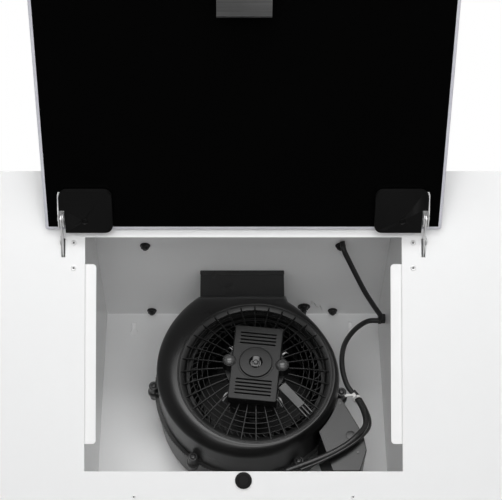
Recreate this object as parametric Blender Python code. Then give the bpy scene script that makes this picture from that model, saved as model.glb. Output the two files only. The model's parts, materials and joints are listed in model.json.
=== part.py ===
"""Inclined wall-mounted cooker hood, 600 mm wide, with its glass door lifted open.

The sheet-metal body hangs on a wall. Behind the lifted door, a rectangular opening in the
sloping front shows the centrifugal blower, which blows up through a round duct collar.

Frame: +X to the right, +Z up, the wall is the plane Y = 0 and the hood faces -Y.
The origin is on the wall, midway between the two hanging keyholes.
Every size in the constants is in millimetres; mesh coordinates are metres.
"""

from math import cos, exp, pi, radians, sin, tan

import bmesh
import bpy
from mathutils import Vector

MM = 0.001

# ---------------------------------------------------------------- driving dimensions
BODY_WIDTH = 600.0
TOP_DEPTH = 329.0
FACE_LENGTH = 430.0
FACE_LEAN = radians(30.0)
SHEET = 1.0
GAP = 0.3
HANG_LINE_BELOW_TOP = 16.5

HALF_WIDTH = BODY_WIDTH / 2
Z_TOP = HANG_LINE_BELOW_TOP
Z_BOTTOM = Z_TOP - FACE_LENGTH * cos(FACE_LEAN)
BOTTOM_DEPTH = TOP_DEPTH - FACE_LENGTH * sin(FACE_LEAN)

# Opening in the sloping face, measured down the slope from the face's top edge
OPENING_HALF_WIDTH = 180.0
OPENING_TOP = 75.8
OPENING_BOTTOM = 340.6
CHAMBER_WALL_X = 181.0
LIP_INNER_X = 167.5
LIP_TOP = 106.2
LIP_BOTTOM = 310.2
LIP_RECESS = 3.3

# Folded edges of the front sheet
TOP_RETURN = 19.0
BOTTOM_RETURN = 14.0
SIDE_FLANGE = 10.0

# Hanging keyholes
KEYHOLE_X = 144.0
KEYHOLE_HEAD_R = 5.0
KEYHOLE_SLOT_R = 2.5
KEYHOLE_DROP = 13.5

# Door: the pin line is fixed on the body, the rest of the door is measured from the pin
PIN_S = 56.1
PIN_N = 22.3
DOOR_OPEN_ANGLE = radians(32.6)
DOOR_WIDTH = 448.0
DOOR_LENGTH = 390.0
GLASS_THICKNESS = 6.0
PIN_TO_HINGE_EDGE = 17.5
PIN_OFF_GLASS = 7.0
ARM_X = 204.7
ARM_THICKNESS = 1.8
CHEEK_OFFSET = 2.45
CHEEK_THICKNESS = 1.2
PIN_R = 1.5
PIN_HOLE_R = 1.8

# Strike bracket on the door and the magnet it meets on the body
STRIKE_START = 262.0
STRIKE_LENGTH = 95.0
STRIKE_HALF_WIDTH = 28.5
STRIKE_HEIGHT = 26.0
MAGNET_S = 350.7
MAGNET_R = 9.5
MAGNET_HEIGHT = 3.0

# Rivets that hold the hinge arms behind the face
RIVET_X = 193.0
RIVET_SLOPES = {"upper": 81.9, "lower": 110.7}
RIVET_HOLE_R = 1.9

# Duct collar on the top, with its two damper flaps
COLLAR_Y = -90.0
COLLAR_BORE_R = 73.4
COLLAR_R = 75.0
COLLAR_HEIGHT = 44.0
COLLAR_PLATE = 2.0
COLLAR_SCREW_X = 120.7
COLLAR_SCREW_YS = {"front": -172.0, "rear": -9.5}
COLLAR_SCREW_HOLE_R = 2.4
FLAP_R = 72.6
FLAP_LINE_Z = Z_TOP + 20.0
FLAP_THICKNESS = 1.2
FLAP_ROOT = 4.0
KNUCKLE_R = 3.4
DAMPER_AXLE_R = 1.5

# Blower: axis along Y
FAN_X = 15.0
FAN_Z = Z_TOP - 157.0
FAN_FRONT_Y = -136.0
SHOULDER_Y = -118.0
SPLIT_Y = -68.0
SCROLL_REAR_Y = -6.0
SCROLL_WALL = 2.5
INLET_R = 92.6
SHOULDER_START_R = 94.5
SCROLL_MIN_R = 99.0
SPIRAL_BASE_R = 81.0
SPIRAL_GROWTH = 0.001625
SCROLL_SHIFT = 2.3
TONGUE_ANGLE = 70.0
TONGUE_FLARE = 13.0
TONGUE_FLARE_SPAN = 45.0
THROAT_ANGLE = 122.0
THROAT_HEIGHT = 112.5
FLANGE_WIDTH = 3.5
FLANGE_THICKNESS = 2.2
DUCT_LEFT_X = -53.4
DUCT_RIGHT_X = 52.4
DUCT_FRONT_Y = -112.7
DUCT_REAR_Y = -38.0
LUG_ANGLES = {"left": 177.0, "lower_left": 229.5, "lower_right": 299.0, "right": 359.0}
LUG_R = 6.0
LUG_OUTSET = 5.0
LUG_FRONT_DEPTH = 16.0
LUG_REAR_DEPTH = 12.0
LUG_HOLE_R = 2.0
STATIONS = 36

# Inlet grille, impeller and motor
GRILLE_FRONT_Y = -137.0
GRILLE_REAR_Y = -133.5
GRILLE_SPOKES = 32
GRILLE_SPOKE_DEGREES = 1.5
GRILLE_RIM_R = 92.2
GRILLE_RADII = (27.0, 37.0, 69.3, 70.7, 86.0, GRILLE_RIM_R)
BLADES = 20
BLADE_DEGREES = 2.5
WHEEL_RADII = (4.3, 12.0, 72.0, 80.0, 84.0)
WHEEL_LEVELS = (-118.0, -116.0, -40.0, -24.0, -22.0)
SHAFT_R = 4.0
SHAFT_FRONT_Y = -157.0
SHAFT_REAR_Y = -20.0
STACK_HALF = 29.0
STACK_FRONT_Y = -118.0
STACK_REAR_Y = -72.0
END_BELL_R = 25.0
MOTOR_FRONT_Y = -132.0
MOTOR_REAR_Y = -58.0
COVER_TILT = radians(-6.0)
COVER_HALF_WIDTH = 29.0
COVER_HALF_HEIGHT = 49.0
COVER_FRONT_Y = -159.0
COVER_SCREW_X = 31.5
COVER_BOSS_R = 7.8
COVER_DISC_R = 19.5

# Wiring
CABLE_R = 3.25
CABLE_SIDES = 6

# Controls and lamps in the underside
CONTROL_Y = -62.0
BUTTON_XS = {"speed_button_low": -33.0, "speed_button_mid": -11.0,
             "speed_button_high": 11.0, "light_button": 33.0}
BUTTON_R = 7.0
BUTTON_PROUD = 4.0
LAMP_X = 232.0
LAMP_Y = -58.0
LAMP_R = 30.0

CABINET_WHITE = (0.83, 0.83, 0.84)
INNER_WHITE = (0.80, 0.80, 0.81)
BLACK_PLASTIC = (0.02, 0.02, 0.021)


# ---------------------------------------------------------------- helpers
def clear_scene():
    for item in list(bpy.data.objects):
        bpy.data.objects.remove(item, do_unlink=True)


def make_material(name, colour, roughness, metallic=0.0):
    material = bpy.data.materials.new(name)
    material.use_nodes = True
    shader = material.node_tree.nodes["Principled BSDF"]
    shader.inputs["Base Color"].default_value = (*colour, 1.0)
    shader.inputs["Roughness"].default_value = roughness
    shader.inputs["Metallic"].default_value = metallic
    return material


def add_mesh(name, bm, material, smooth_below=None):
    """Turn a bmesh, in millimetres, into a named object in metres."""
    bmesh.ops.recalc_face_normals(bm, faces=bm.faces)
    bmesh.ops.scale(bm, vec=(MM, MM, MM), verts=bm.verts)
    mesh = bpy.data.meshes.new(name)
    bm.to_mesh(mesh)
    bm.free()
    item = bpy.data.objects.new(name, mesh)
    bpy.context.scene.collection.objects.link(item)
    if material is not None:
        mesh.materials.append(material)
    if smooth_below is not None:
        mesh.shade_smooth()
        mesh.set_sharp_from_angle(angle=radians(smooth_below))
    return item


def loft(name, loops, material, smooth_below=None):
    """Closed solid through equal-length loops of points, capped at both ends."""
    bm = bmesh.new()
    rows = [[bm.verts.new(point) for point in loop] for loop in loops]
    count = len(rows[0])
    for lower, upper in zip(rows, rows[1:]):
        for i in range(count):
            j = (i + 1) % count
            bm.faces.new((lower[i], lower[j], upper[j], upper[i]))
    bm.faces.new(rows[0])
    bm.faces.new(list(reversed(rows[-1])))
    return add_mesh(name, bm, material, smooth_below)


def prism(name, outline, push, material=None, smooth_below=None):
    """Solid swept from a flat outline along the vector push."""
    far = [point + push for point in outline]
    return loft(name, [outline, far], material, smooth_below)


def box(name, x_range, y_range, z_range, material=None):
    outline = [Vector((x, y, z_range[0])) for x, y in
               ((x_range[0], y_range[0]), (x_range[1], y_range[0]),
                (x_range[1], y_range[1]), (x_range[0], y_range[1]))]
    return prism(name, outline, Vector((0, 0, z_range[1] - z_range[0])), material)


def axis_frame(axis):
    """Two unit vectors square to an axis."""
    axis = Vector(axis).normalized()
    guide = Vector((0, 0, 1)) if abs(axis.z) < 0.9 else Vector((1, 0, 0))
    side = axis.cross(guide).normalized()
    return side, axis.cross(side)


def ring(centre, axis, radius, segments):
    side, other = axis_frame(axis)
    turns = [2 * pi * i / segments for i in range(segments)]
    return [Vector(centre) + radius * (cos(t) * side + sin(t) * other) for t in turns]


def turned(name, start, axis, profile, material=None, segments=24):
    """Solid of revolution: profile holds (distance along axis, radius) pairs."""
    start = Vector(start)
    axis = Vector(axis).normalized()
    loops = [ring(start + axis * along, axis, radius, segments) for along, radius in profile]
    return loft(name, loops, material, smooth_below=35)


def rod(name, start, axis, length, radius, material=None, segments=24):
    return turned(name, start, axis, [(0.0, radius), (length, radius)], material, segments)


def use_as_tool(target, tools, operation):
    for tool in tools:
        tool.hide_render = True
        tool.display_type = "WIRE"
        step = target.modifiers.new(operation.lower() + "_" + tool.name, "BOOLEAN")
        step.operation = operation
        step.solver = "EXACT"
        step.object = tool
    return target


def cut(target, *tools):
    return use_as_tool(target, tools, "DIFFERENCE")


def weld(target, *tools):
    return use_as_tool(target, tools, "UNION")


def sheet_profile(path, thickness):
    """Closed outline of a folded sheet: the path, then the path offset to its left."""
    normals = []
    for (a0, b0), (a1, b1) in zip(path, path[1:]):
        edge = Vector((a1 - a0, b1 - b0)).normalized()
        normals.append(Vector((-edge.y, edge.x)))
    offset = []
    for i, (a, b) in enumerate(path):
        before = normals[max(i - 1, 0)]
        after = normals[min(i, len(normals) - 1)]
        bisector = (before + after).normalized()
        reach = thickness / bisector.dot(after)
        offset.append((a + bisector.x * reach, b + bisector.y * reach))
    return list(path) + offset[::-1]


def rounded_outline(half_width, half_height, radius, steps=4):
    """Rounded rectangle about the origin, counter-clockwise."""
    points = []
    for index, (sx, sy) in enumerate(((1, 1), (-1, 1), (-1, -1), (1, -1))):
        for step in range(steps + 1):
            turn = pi / 2 * (index + step / steps)
            points.append((sx * (half_width - radius) + radius * cos(turn),
                           sy * (half_height - radius) + radius * sin(turn)))
    return points


def smooth_path(knots, steps=3):
    """Points on a Catmull-Rom curve through the knots."""
    knots = [Vector(knot) for knot in knots]
    ends = [2 * knots[0] - knots[1], *knots, 2 * knots[-1] - knots[-2]]
    points = []
    for a, b, c, d in zip(ends, ends[1:], ends[2:], ends[3:]):
        for step in range(steps):
            t = step / steps
            points.append(0.5 * (2 * b + (c - a) * t + (2 * a - 5 * b + 4 * c - d) * t * t
                                 + (3 * b - a - 3 * c + d) * t ** 3))
    points.append(knots[-1])
    return points


def cable(name, knots, radius, material, sides=CABLE_SIDES):
    """Round cable along a smooth path, its cross-section carried along without twisting."""
    path = smooth_path(knots)
    tangents = [(path[min(i + 1, len(path) - 1)] - path[max(i - 1, 0)]).normalized()
                for i in range(len(path))]
    side = axis_frame(tangents[0])[0]
    loops = []
    for point, tangent in zip(path, tangents):
        side = (side - tangent * side.dot(tangent)).normalized()
        other = tangent.cross(side)
        turns = [2 * pi * i / sides for i in range(sides)]
        loops.append([point + radius * (cos(t) * side + sin(t) * other) for t in turns])
    return loft(name, loops, material, smooth_below=60)


def polar_blocks(name, turns, radii, levels, is_solid, material):
    """Closed mesh of the blocks of a polar grid about the fan's axis that is_solid keeps."""
    bm = bmesh.new()
    corners = {}

    def corner(i, j, k):
        key = (i % len(turns), j, k)
        if key not in corners:
            turn = turns[key[0]]
            corners[key] = bm.verts.new((FAN_X + radii[j] * cos(turn), levels[k],
                                         FAN_Z + radii[j] * sin(turn)))
        return corners[key]

    def solid(i, j, k):
        inside = 0 <= j < len(radii) - 1 and 0 <= k < len(levels) - 1
        return inside and is_solid(i % len(turns), j, k)

    sides = (((-1, 0, 0), ((0, 0, 0), (0, 1, 0), (0, 1, 1), (0, 0, 1))),
             ((1, 0, 0), ((1, 0, 0), (1, 0, 1), (1, 1, 1), (1, 1, 0))),
             ((0, -1, 0), ((0, 0, 0), (0, 0, 1), (1, 0, 1), (1, 0, 0))),
             ((0, 1, 0), ((0, 1, 0), (1, 1, 0), (1, 1, 1), (0, 1, 1))),
             ((0, 0, -1), ((0, 0, 0), (1, 0, 0), (1, 1, 0), (0, 1, 0))),
             ((0, 0, 1), ((0, 0, 1), (0, 1, 1), (1, 1, 1), (1, 0, 1))))
    for i in range(len(turns)):
        for j in range(len(radii) - 1):
            for k in range(len(levels) - 1):
                if not solid(i, j, k):
                    continue
                for (di, dj, dk), face in sides:
                    if not solid(i + di, j + dj, k + dk):
                        bm.faces.new([corner(i + a, j + b, k + c) for a, b, c in face])
    return add_mesh(name, bm, material, smooth_below=30)


# ---------------------------------------------------------------- places on the hood
SLOPE_DOWN = Vector((0, sin(FACE_LEAN), -cos(FACE_LEAN)))
FACE_OUT = Vector((0, -cos(FACE_LEAN), -sin(FACE_LEAN)))


def on_face(x, s, n):
    """Point on the sloping face: s down the slope from its top edge, n out of its surface."""
    return Vector((x, -TOP_DEPTH, Z_TOP)) + SLOPE_DOWN * s + FACE_OUT * n


def face_box(name, x_range, s_range, n_range, material=None):
    outline = [on_face(x, s, n_range[0]) for x, s in
               ((x_range[0], s_range[0]), (x_range[1], s_range[0]),
                (x_range[1], s_range[1]), (x_range[0], s_range[1]))]
    return prism(name, outline, FACE_OUT * (n_range[1] - n_range[0]), material)


PIN = on_face(0, PIN_S, PIN_N)
DOOR_ALONG = -SLOPE_DOWN * cos(DOOR_OPEN_ANGLE) + FACE_OUT * sin(DOOR_OPEN_ANGLE)
DOOR_INWARD = SLOPE_DOWN * sin(DOOR_OPEN_ANGLE) + FACE_OUT * cos(DOOR_OPEN_ANGLE)


def on_door(x, t, m):
    """Point on the open door: t from its hinge edge, m in from the glass's inner surface."""
    along = DOOR_ALONG * (t - PIN_TO_HINGE_EDGE)
    return PIN + Vector((x, 0, 0)) + along + DOOR_INWARD * (m - PIN_OFF_GLASS)


def beside_fan(angle_degrees, radius, y):
    turn = radians(angle_degrees)
    return Vector((FAN_X + radius * cos(turn), y, FAN_Z + radius * sin(turn)))


def mirrored(side):
    return {"left": -1, "right": 1}[side]


# ---------------------------------------------------------------- body
def build_front_panel(material):
    path = [(-TOP_DEPTH + TOP_RETURN, Z_TOP), (-TOP_DEPTH, Z_TOP),
            (-BOTTOM_DEPTH, Z_BOTTOM), (-BOTTOM_DEPTH + BOTTOM_RETURN, Z_BOTTOM)]
    outline = [Vector((-HALF_WIDTH, y, z)) for y, z in sheet_profile(path, SHEET)]
    panel = prism("front_panel", outline, Vector((BODY_WIDTH, 0, 0)), material)
    through = (-SHEET - 5, 5)
    cut(panel, face_box("cut_opening", (-OPENING_HALF_WIDTH, OPENING_HALF_WIDTH),
                        (OPENING_TOP, OPENING_BOTTOM), through))
    slot_half = ARM_THICKNESS / 2 + 1.2
    for side in (-1, 1):
        arm_x = side * ARM_X
        cut(panel, face_box("cut_arm_slot", (arm_x - slot_half, arm_x + slot_half),
                            (77.0, 98.5), through))
        for slope in RIVET_SLOPES.values():
            cut(panel, rod("cut_rivet", on_face(side * RIVET_X, slope, 5), -FACE_OUT, 12,
                           RIVET_HOLE_R, segments=12))


def build_back_panel(material):
    inset = HALF_WIDTH - SHEET - GAP
    panel = box("back_panel", (-inset, inset), (-SHEET, 0),
                (Z_BOTTOM + SHEET + GAP, Z_TOP - SHEET - GAP), material)
    for side in (-1, 1):
        x = side * KEYHOLE_X
        cut(panel,
            rod("cut_keyhole_head", (x, -5, -KEYHOLE_DROP), (0, 1, 0), 10, KEYHOLE_HEAD_R),
            box("cut_keyhole_slot", (x - KEYHOLE_SLOT_R, x + KEYHOLE_SLOT_R), (-5, 5),
                (-KEYHOLE_DROP, KEYHOLE_SLOT_R)))


def build_top_panel(material):
    rim = GAP / 2
    panel = box("top_panel", (-HALF_WIDTH, HALF_WIDTH), (-TOP_DEPTH + TOP_RETURN + GAP, 0),
                (Z_TOP - SHEET, Z_TOP), material)
    cut(panel, box("cut_outlet", (DUCT_LEFT_X + SCROLL_WALL + rim, DUCT_RIGHT_X - SCROLL_WALL - rim),
                   (DUCT_FRONT_Y + SCROLL_WALL + rim, DUCT_REAR_Y - SCROLL_WALL - rim),
                   (Z_TOP - 10, Z_TOP + 10)))
    for x in (-COLLAR_SCREW_X, COLLAR_SCREW_X):
        for y in COLLAR_SCREW_YS.values():
            cut(panel, rod("cut_collar_screw", (x, y, Z_TOP - 6), (0, 0, 1), 12,
                           COLLAR_SCREW_HOLE_R, segments=12))


def build_bottom_panel(material):
    panel = box("bottom_panel", (-HALF_WIDTH, HALF_WIDTH),
                (-BOTTOM_DEPTH + BOTTOM_RETURN + GAP, 0), (Z_BOTTOM, Z_BOTTOM + SHEET), material)
    for x in (-LAMP_X, LAMP_X):
        cut(panel, rod("cut_lamp", (x, LAMP_Y, Z_BOTTOM - 5), (0, 0, 1), 12, LAMP_R - 3))
    half = max(BUTTON_XS.values()) + BUTTON_R + 3
    cut(panel, box("cut_controls", (-half, half), (CONTROL_Y - 10, CONTROL_Y + 10),
                   (Z_BOTTOM - 5, Z_BOTTOM + 6)))


def side_outline(x, rear_y):
    """The body's side shape, held just inside the front, top and bottom sheets."""
    inset = SHEET + GAP
    top = Z_TOP - inset
    bottom = Z_BOTTOM + inset
    lean = tan(FACE_LEAN)
    front_at_top = -TOP_DEPTH + inset / cos(FACE_LEAN) + inset * lean
    front_at_bottom = front_at_top + (top - bottom) * lean
    return [Vector((x, front_at_top, top)), Vector((x, front_at_bottom, bottom)),
            Vector((x, rear_y, bottom)), Vector((x, rear_y, top))]


def build_side_panels(material):
    flange_n = (-2 * SHEET - GAP, -SHEET - GAP)
    for side, sign in (("left", -1), ("right", 1)):
        outline = side_outline(sign * HALF_WIDTH, 0)
        panel = prism(side + "_side_panel", outline, Vector((-sign * SHEET, 0, 0)), material)
        x_range = sorted((sign * (HALF_WIDTH - SHEET / 2),
                          sign * (HALF_WIDTH - SIDE_FLANGE)))
        weld(panel, face_box("add_side_flange", x_range, (8, FACE_LENGTH - 8), flange_n))


def build_chamber_walls(material):
    lip_n = (-LIP_RECESS - SHEET, -LIP_RECESS)
    for side, sign in (("left", -1), ("right", 1)):
        outline = side_outline(sign * CHAMBER_WALL_X, -SHEET - GAP)
        wall = prism(side + "_chamber_wall", outline, Vector((sign * SHEET, 0, 0)), material)
        x_range = sorted((sign * LIP_INNER_X, sign * (CHAMBER_WALL_X + SHEET / 2)))
        weld(wall, face_box("add_lip", x_range, (LIP_TOP, LIP_BOTTOM), lip_n))


# ---------------------------------------------------------------- door and hinges
def build_door_glass(material):
    half = DOOR_WIDTH / 2
    outline = [on_door(x, t + DOOR_LENGTH / 2, 0)
               for x, t in rounded_outline(half, DOOR_LENGTH / 2, 2.0, 2)]
    prism("door_glass", outline, -DOOR_INWARD * GLASS_THICKNESS, material)


def build_strike_bracket(material):
    start = STRIKE_START
    end = STRIKE_START + STRIKE_LENGTH
    foot = 14.0
    path = [(end - foot, GAP), (end, GAP), (end, STRIKE_HEIGHT), (start, STRIKE_HEIGHT),
            (start, GAP), (start + foot, GAP)]
    outline = [on_door(-STRIKE_HALF_WIDTH, t, m) for t, m in sheet_profile(path, 1.2)]
    prism("strike_bracket", outline, Vector((2 * STRIKE_HALF_WIDTH, 0, 0)), material)


def build_hinge_pad(side, material):
    """Plastic cover with three rounded corners and a notch for the hinge arm."""
    sign = mirrored(side)
    inner, outer, notch = 147.0, 206.2, 200.2
    low, high, notch_top = 0.5, 53.0, 29.0
    radius = 9.0
    corner = []
    for cx, ct, first in ((outer - radius, high - radius, 0.0),
                          (inner + radius, high - radius, pi / 2),
                          (inner + radius, low + radius, pi)):
        for step in range(4):
            turn = first + pi / 2 * step / 3
            corner.append((cx + radius * cos(turn), ct + radius * sin(turn)))
    corner += [(notch, low), (notch, notch_top), (outer, notch_top)]
    outline = [on_door(sign * x, t, 1.8) for x, t in corner]
    pad = prism("hinge_pad_" + side, outline, DOOR_INWARD * 7.2, material)
    bevel = pad.modifiers.new("soft_edge", "BEVEL")
    bevel.width = 0.8 * MM
    bevel.segments = 1
    bevel.limit_method = "ANGLE"
    bevel.angle_limit = radians(50)


def cheek(name, x, outline, material=None):
    points = [on_door(x - CHEEK_THICKNESS / 2, t + PIN_TO_HINGE_EDGE, m + PIN_OFF_GLASS)
              for t, m in outline]
    return prism(name, points, Vector((CHEEK_THICKNESS, 0, 0)), material)


def build_hinge_clevis(side, material):
    """Plate on the glass with two upright cheeks, which the pin goes through."""
    sign = mirrored(side)
    base = -PIN_OFF_GLASS + GAP
    long_cheek = [(-12, base), (29, base), (29, -3), (8, 5), (-8, 5), (-12, 0)]
    short_cheek = [(-10, base), (6, base), (6, 4), (4, 5), (-7, 5), (-10, 1)]
    clevis = cheek("hinge_clevis_" + side, sign * (ARM_X + CHEEK_OFFSET), long_cheek, material)
    plate_x = sorted((sign * 150.0, sign * (ARM_X + CHEEK_OFFSET + CHEEK_THICKNESS / 4)))
    plate = [on_door(x, t, GAP) for x, t in ((plate_x[0], 4.0), (plate_x[1], 4.0),
                                            (plate_x[1], 48.0), (plate_x[0], 48.0))]
    weld(clevis, cheek("add_inner_cheek", sign * (ARM_X - CHEEK_OFFSET), short_cheek),
         prism("add_clevis_plate", plate, DOOR_INWARD * 1.2))
    cut(clevis, rod("cut_pin_hole", PIN + Vector((sign * ARM_X - 8, 0, 0)), (1, 0, 0), 16,
                    PIN_HOLE_R, segments=16))


def build_hinge_pin(side, material):
    sign = mirrored(side)
    reach = CHEEK_OFFSET + CHEEK_THICKNESS / 2 + GAP
    head = 0.7
    start = PIN + Vector((sign * (ARM_X - reach - head), 0, 0))
    profile = [(0, 2.6), (head, 2.6), (head, PIN_R), (head + 2 * reach, PIN_R),
               (head + 2 * reach, 2.6), (2 * head + 2 * reach, 2.6)]
    turned("hinge_pin_" + side, start, (sign, 0, 0), profile, material, 12)


def build_hinge_arm(side, material):
    """Static arm: an eye round the pin, a curved neck through the slot, a foot inside."""
    sign = mirrored(side)
    eye_r = 4.6
    outline = []
    for step in range(9):
        turn = radians(35 + 180 * step / 8)
        outline.append((PIN_S + eye_r * cos(turn), PIN_N + eye_r * sin(turn)))
    outline += [(62, 14), (70, 8), (78, 1), (80, -5), (76, -16), (76, -30),
                (124, -30), (124, -2.2), (98, -2.2), (96, 1), (88, 7), (76, 14), (66, 20)]
    x = sign * ARM_X - ARM_THICKNESS / 2
    arm = prism("hinge_arm_" + side, [on_face(x, s, n) for s, n in outline],
                Vector((ARM_THICKNESS, 0, 0)), material)
    foot_x = sorted((sign * 185.0, sign * (ARM_X + ARM_THICKNESS / 4)))
    weld(arm, face_box("add_arm_foot", foot_x, (100.5, 122), (-SHEET - GAP - 1.8, -SHEET - GAP)),
         face_box("add_arm_ear", sorted((sign * 185.0, sign * 199.0)), (74, 108),
                  (-SHEET - GAP - 1.8, -SHEET - GAP)))
    cut(arm, rod("cut_arm_eye", PIN + Vector((sign * ARM_X - 5, 0, 0)), (1, 0, 0), 10,
                 PIN_HOLE_R, segments=16))
    for slope in RIVET_SLOPES.values():
        cut(arm, rod("cut_arm_rivet", on_face(sign * RIVET_X, slope, 5), -FACE_OUT, 16,
                     RIVET_HOLE_R, segments=12))


def build_rivets(material):
    """Pop rivets: flat dome outside, shank through both sheets, bulb inside."""
    profile = [(-1.5, 1.2), (-1.2, 2.4), (-GAP, 3.3), (-GAP, 1.6),
               (3.4 + GAP, 1.6), (3.4 + GAP, 2.6), (6, 2.2)]
    for side, sign in (("left", -1), ("right", 1)):
        for place, slope in RIVET_SLOPES.items():
            turned("rivet_" + place + "_" + side, on_face(sign * RIVET_X, slope, 0),
                   -FACE_OUT, profile, material, 8)


def build_magnet(material):
    profile = [(GAP, MAGNET_R), (MAGNET_HEIGHT - 0.8, MAGNET_R), (MAGNET_HEIGHT, MAGNET_R - 0.8)]
    turned("magnet_catch", on_face(0, MAGNET_S, 0), FACE_OUT, profile, material, 24)


# ---------------------------------------------------------------- duct collar and dampers
def build_outlet_collar(material):
    """Square base plate with a round spigot, and two bearing bosses for the damper axle."""
    half_x = COLLAR_SCREW_X + 10
    base = Z_TOP + GAP
    collar = box("outlet_collar", (-half_x, half_x), (COLLAR_Y - 90, -1.5),
                 (base, base + COLLAR_PLATE), material)
    weld(collar, rod("add_spigot", (0, COLLAR_Y, base + 0.5), (0, 0, 1), COLLAR_HEIGHT,
                     COLLAR_R, segments=32))
    cut(collar, rod("cut_spigot_bore", (0, COLLAR_Y, base - 5), (0, 0, 1), COLLAR_HEIGHT + 20,
                    COLLAR_BORE_R, segments=32))
    cut(collar, rod("cut_axle_holes", (0, COLLAR_Y - 80, FLAP_LINE_Z), (0, 1, 0), 160,
                    DAMPER_AXLE_R + GAP, segments=12))
    for x in (-COLLAR_SCREW_X, COLLAR_SCREW_X):
        for y in COLLAR_SCREW_YS.values():
            cut(collar, rod("cut_plate_screw", (x, y, base - 5), (0, 0, 1), 12,
                            COLLAR_SCREW_HOLE_R, segments=12))


def build_dampers(flap_material, axle_material):
    rod("damper_axle", (0, COLLAR_Y - 76, FLAP_LINE_Z), (0, 1, 0), 152, DAMPER_AXLE_R,
        axle_material, 12)
    low = FLAP_LINE_Z - FLAP_THICKNESS / 2
    for side, sign in (("left", -1), ("right", 1)):
        reach = [radians(-85 + 170 * step / 12) for step in range(13)]
        outline = [Vector((sign * max(FLAP_R * cos(t), FLAP_ROOT), COLLAR_Y + FLAP_R * sin(t), low))
                   for t in reach]
        outline += [Vector((sign * FLAP_ROOT, COLLAR_Y + FLAP_R * sin(reach[-1]), low)),
                    Vector((sign * FLAP_ROOT, COLLAR_Y + FLAP_R * sin(reach[0]), low))]
        flap = prism("damper_flap_" + side, outline, Vector((0, 0, FLAP_THICKNESS)), flap_material)
        for offset in (-50, 30):
            y = COLLAR_Y - sign * offset
            tab_x = sorted((sign * (KNUCKLE_R - 1), sign * (FLAP_ROOT + 2)))
            weld(flap, box("add_knuckle_tab", tab_x, (y - 6, y + 6), (low, low + FLAP_THICKNESS)),
                 rod("add_knuckle", (0, y - 6, FLAP_LINE_Z), (0, 1, 0), 12, KNUCKLE_R, segments=12))
        cut(flap, rod("cut_knuckle_bore", (0, COLLAR_Y - 70, FLAP_LINE_Z), (0, 1, 0), 140,
                      DAMPER_AXLE_R + GAP, segments=12))


def build_collar_screws(material):
    for side, sign in (("left", -1), ("right", 1)):
        for place, y in COLLAR_SCREW_YS.items():
            under = Z_TOP - SHEET - GAP
            profile = [(-4.6, 3.4), (-3.6, 5.2), (-1.2, 5.6), (-1.2, 6.6), (0, 6.6), (0, 2.0),
                       (8, 2.0)]
            turned("collar_screw_" + place + "_" + side, (sign * COLLAR_SCREW_X, y, under),
                   (0, 0, 1), profile, material, 8)


# ---------------------------------------------------------------- blower housing
def scroll_radius(angle):
    """Outer radius of the scroll at an angle, in degrees counter-clockwise from +X."""
    angle = angle % 360
    if TONGUE_ANGLE < angle < THROAT_ANGLE:
        return THROAT_HEIGHT / sin(radians(angle))
    clockwise = (TONGUE_ANGLE - angle) % 360
    spiral = SPIRAL_BASE_R * exp(SPIRAL_GROWTH * clockwise)
    flare = TONGUE_FLARE * max(0.0, 1 - clockwise / TONGUE_FLARE_SPAN) ** 2
    return max(SCROLL_MIN_R, spiral) + flare + SCROLL_SHIFT * cos(radians(angle))


def scroll_loop(y, grow=0.0, shrink_to=None, blend=1.0):
    """The scroll's outline at depth y, grown by a width or drawn in towards a radius."""
    points = []
    for i in range(STATIONS):
        angle = 360 * i / STATIONS + THROAT_ANGLE
        radius = scroll_radius(angle) + grow
        if shrink_to is not None:
            radius = shrink_to + (radius - shrink_to) * blend
        points.append(beside_fan(angle, radius, y))
    return points


def scroll_body(name, front_y, rear_y, grow, front_round, rear_round, material=None):
    """Solid scroll with its front edge, and its rear edge, rounded by quarter ellipses."""
    steps = 4
    loops = []
    for i in range(steps if front_round else 0):
        turn = pi / 2 * i / steps
        y = front_y + front_round * (1 - cos(turn))
        loops.append(scroll_loop(y, grow, SHOULDER_START_R + grow, sin(turn)))
    loops.append(scroll_loop(front_y + front_round, grow))
    loops.append(scroll_loop(rear_y - rear_round, grow))
    if rear_round:
        loops.append(scroll_loop(rear_y - rear_round * 0.3, grow - rear_round * 0.3))
        loops.append(scroll_loop(rear_y, grow - rear_round))
    return loft(name, loops, material, smooth_below=40)


def duct_box(name, y_range, inset, z_range, material=None):
    return box(name, (DUCT_LEFT_X + inset, DUCT_RIGHT_X - inset), y_range, z_range, material)


def lug_centre(angle, y):
    return beside_fan(angle, scroll_radius(angle) + LUG_OUTSET, y)


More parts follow.
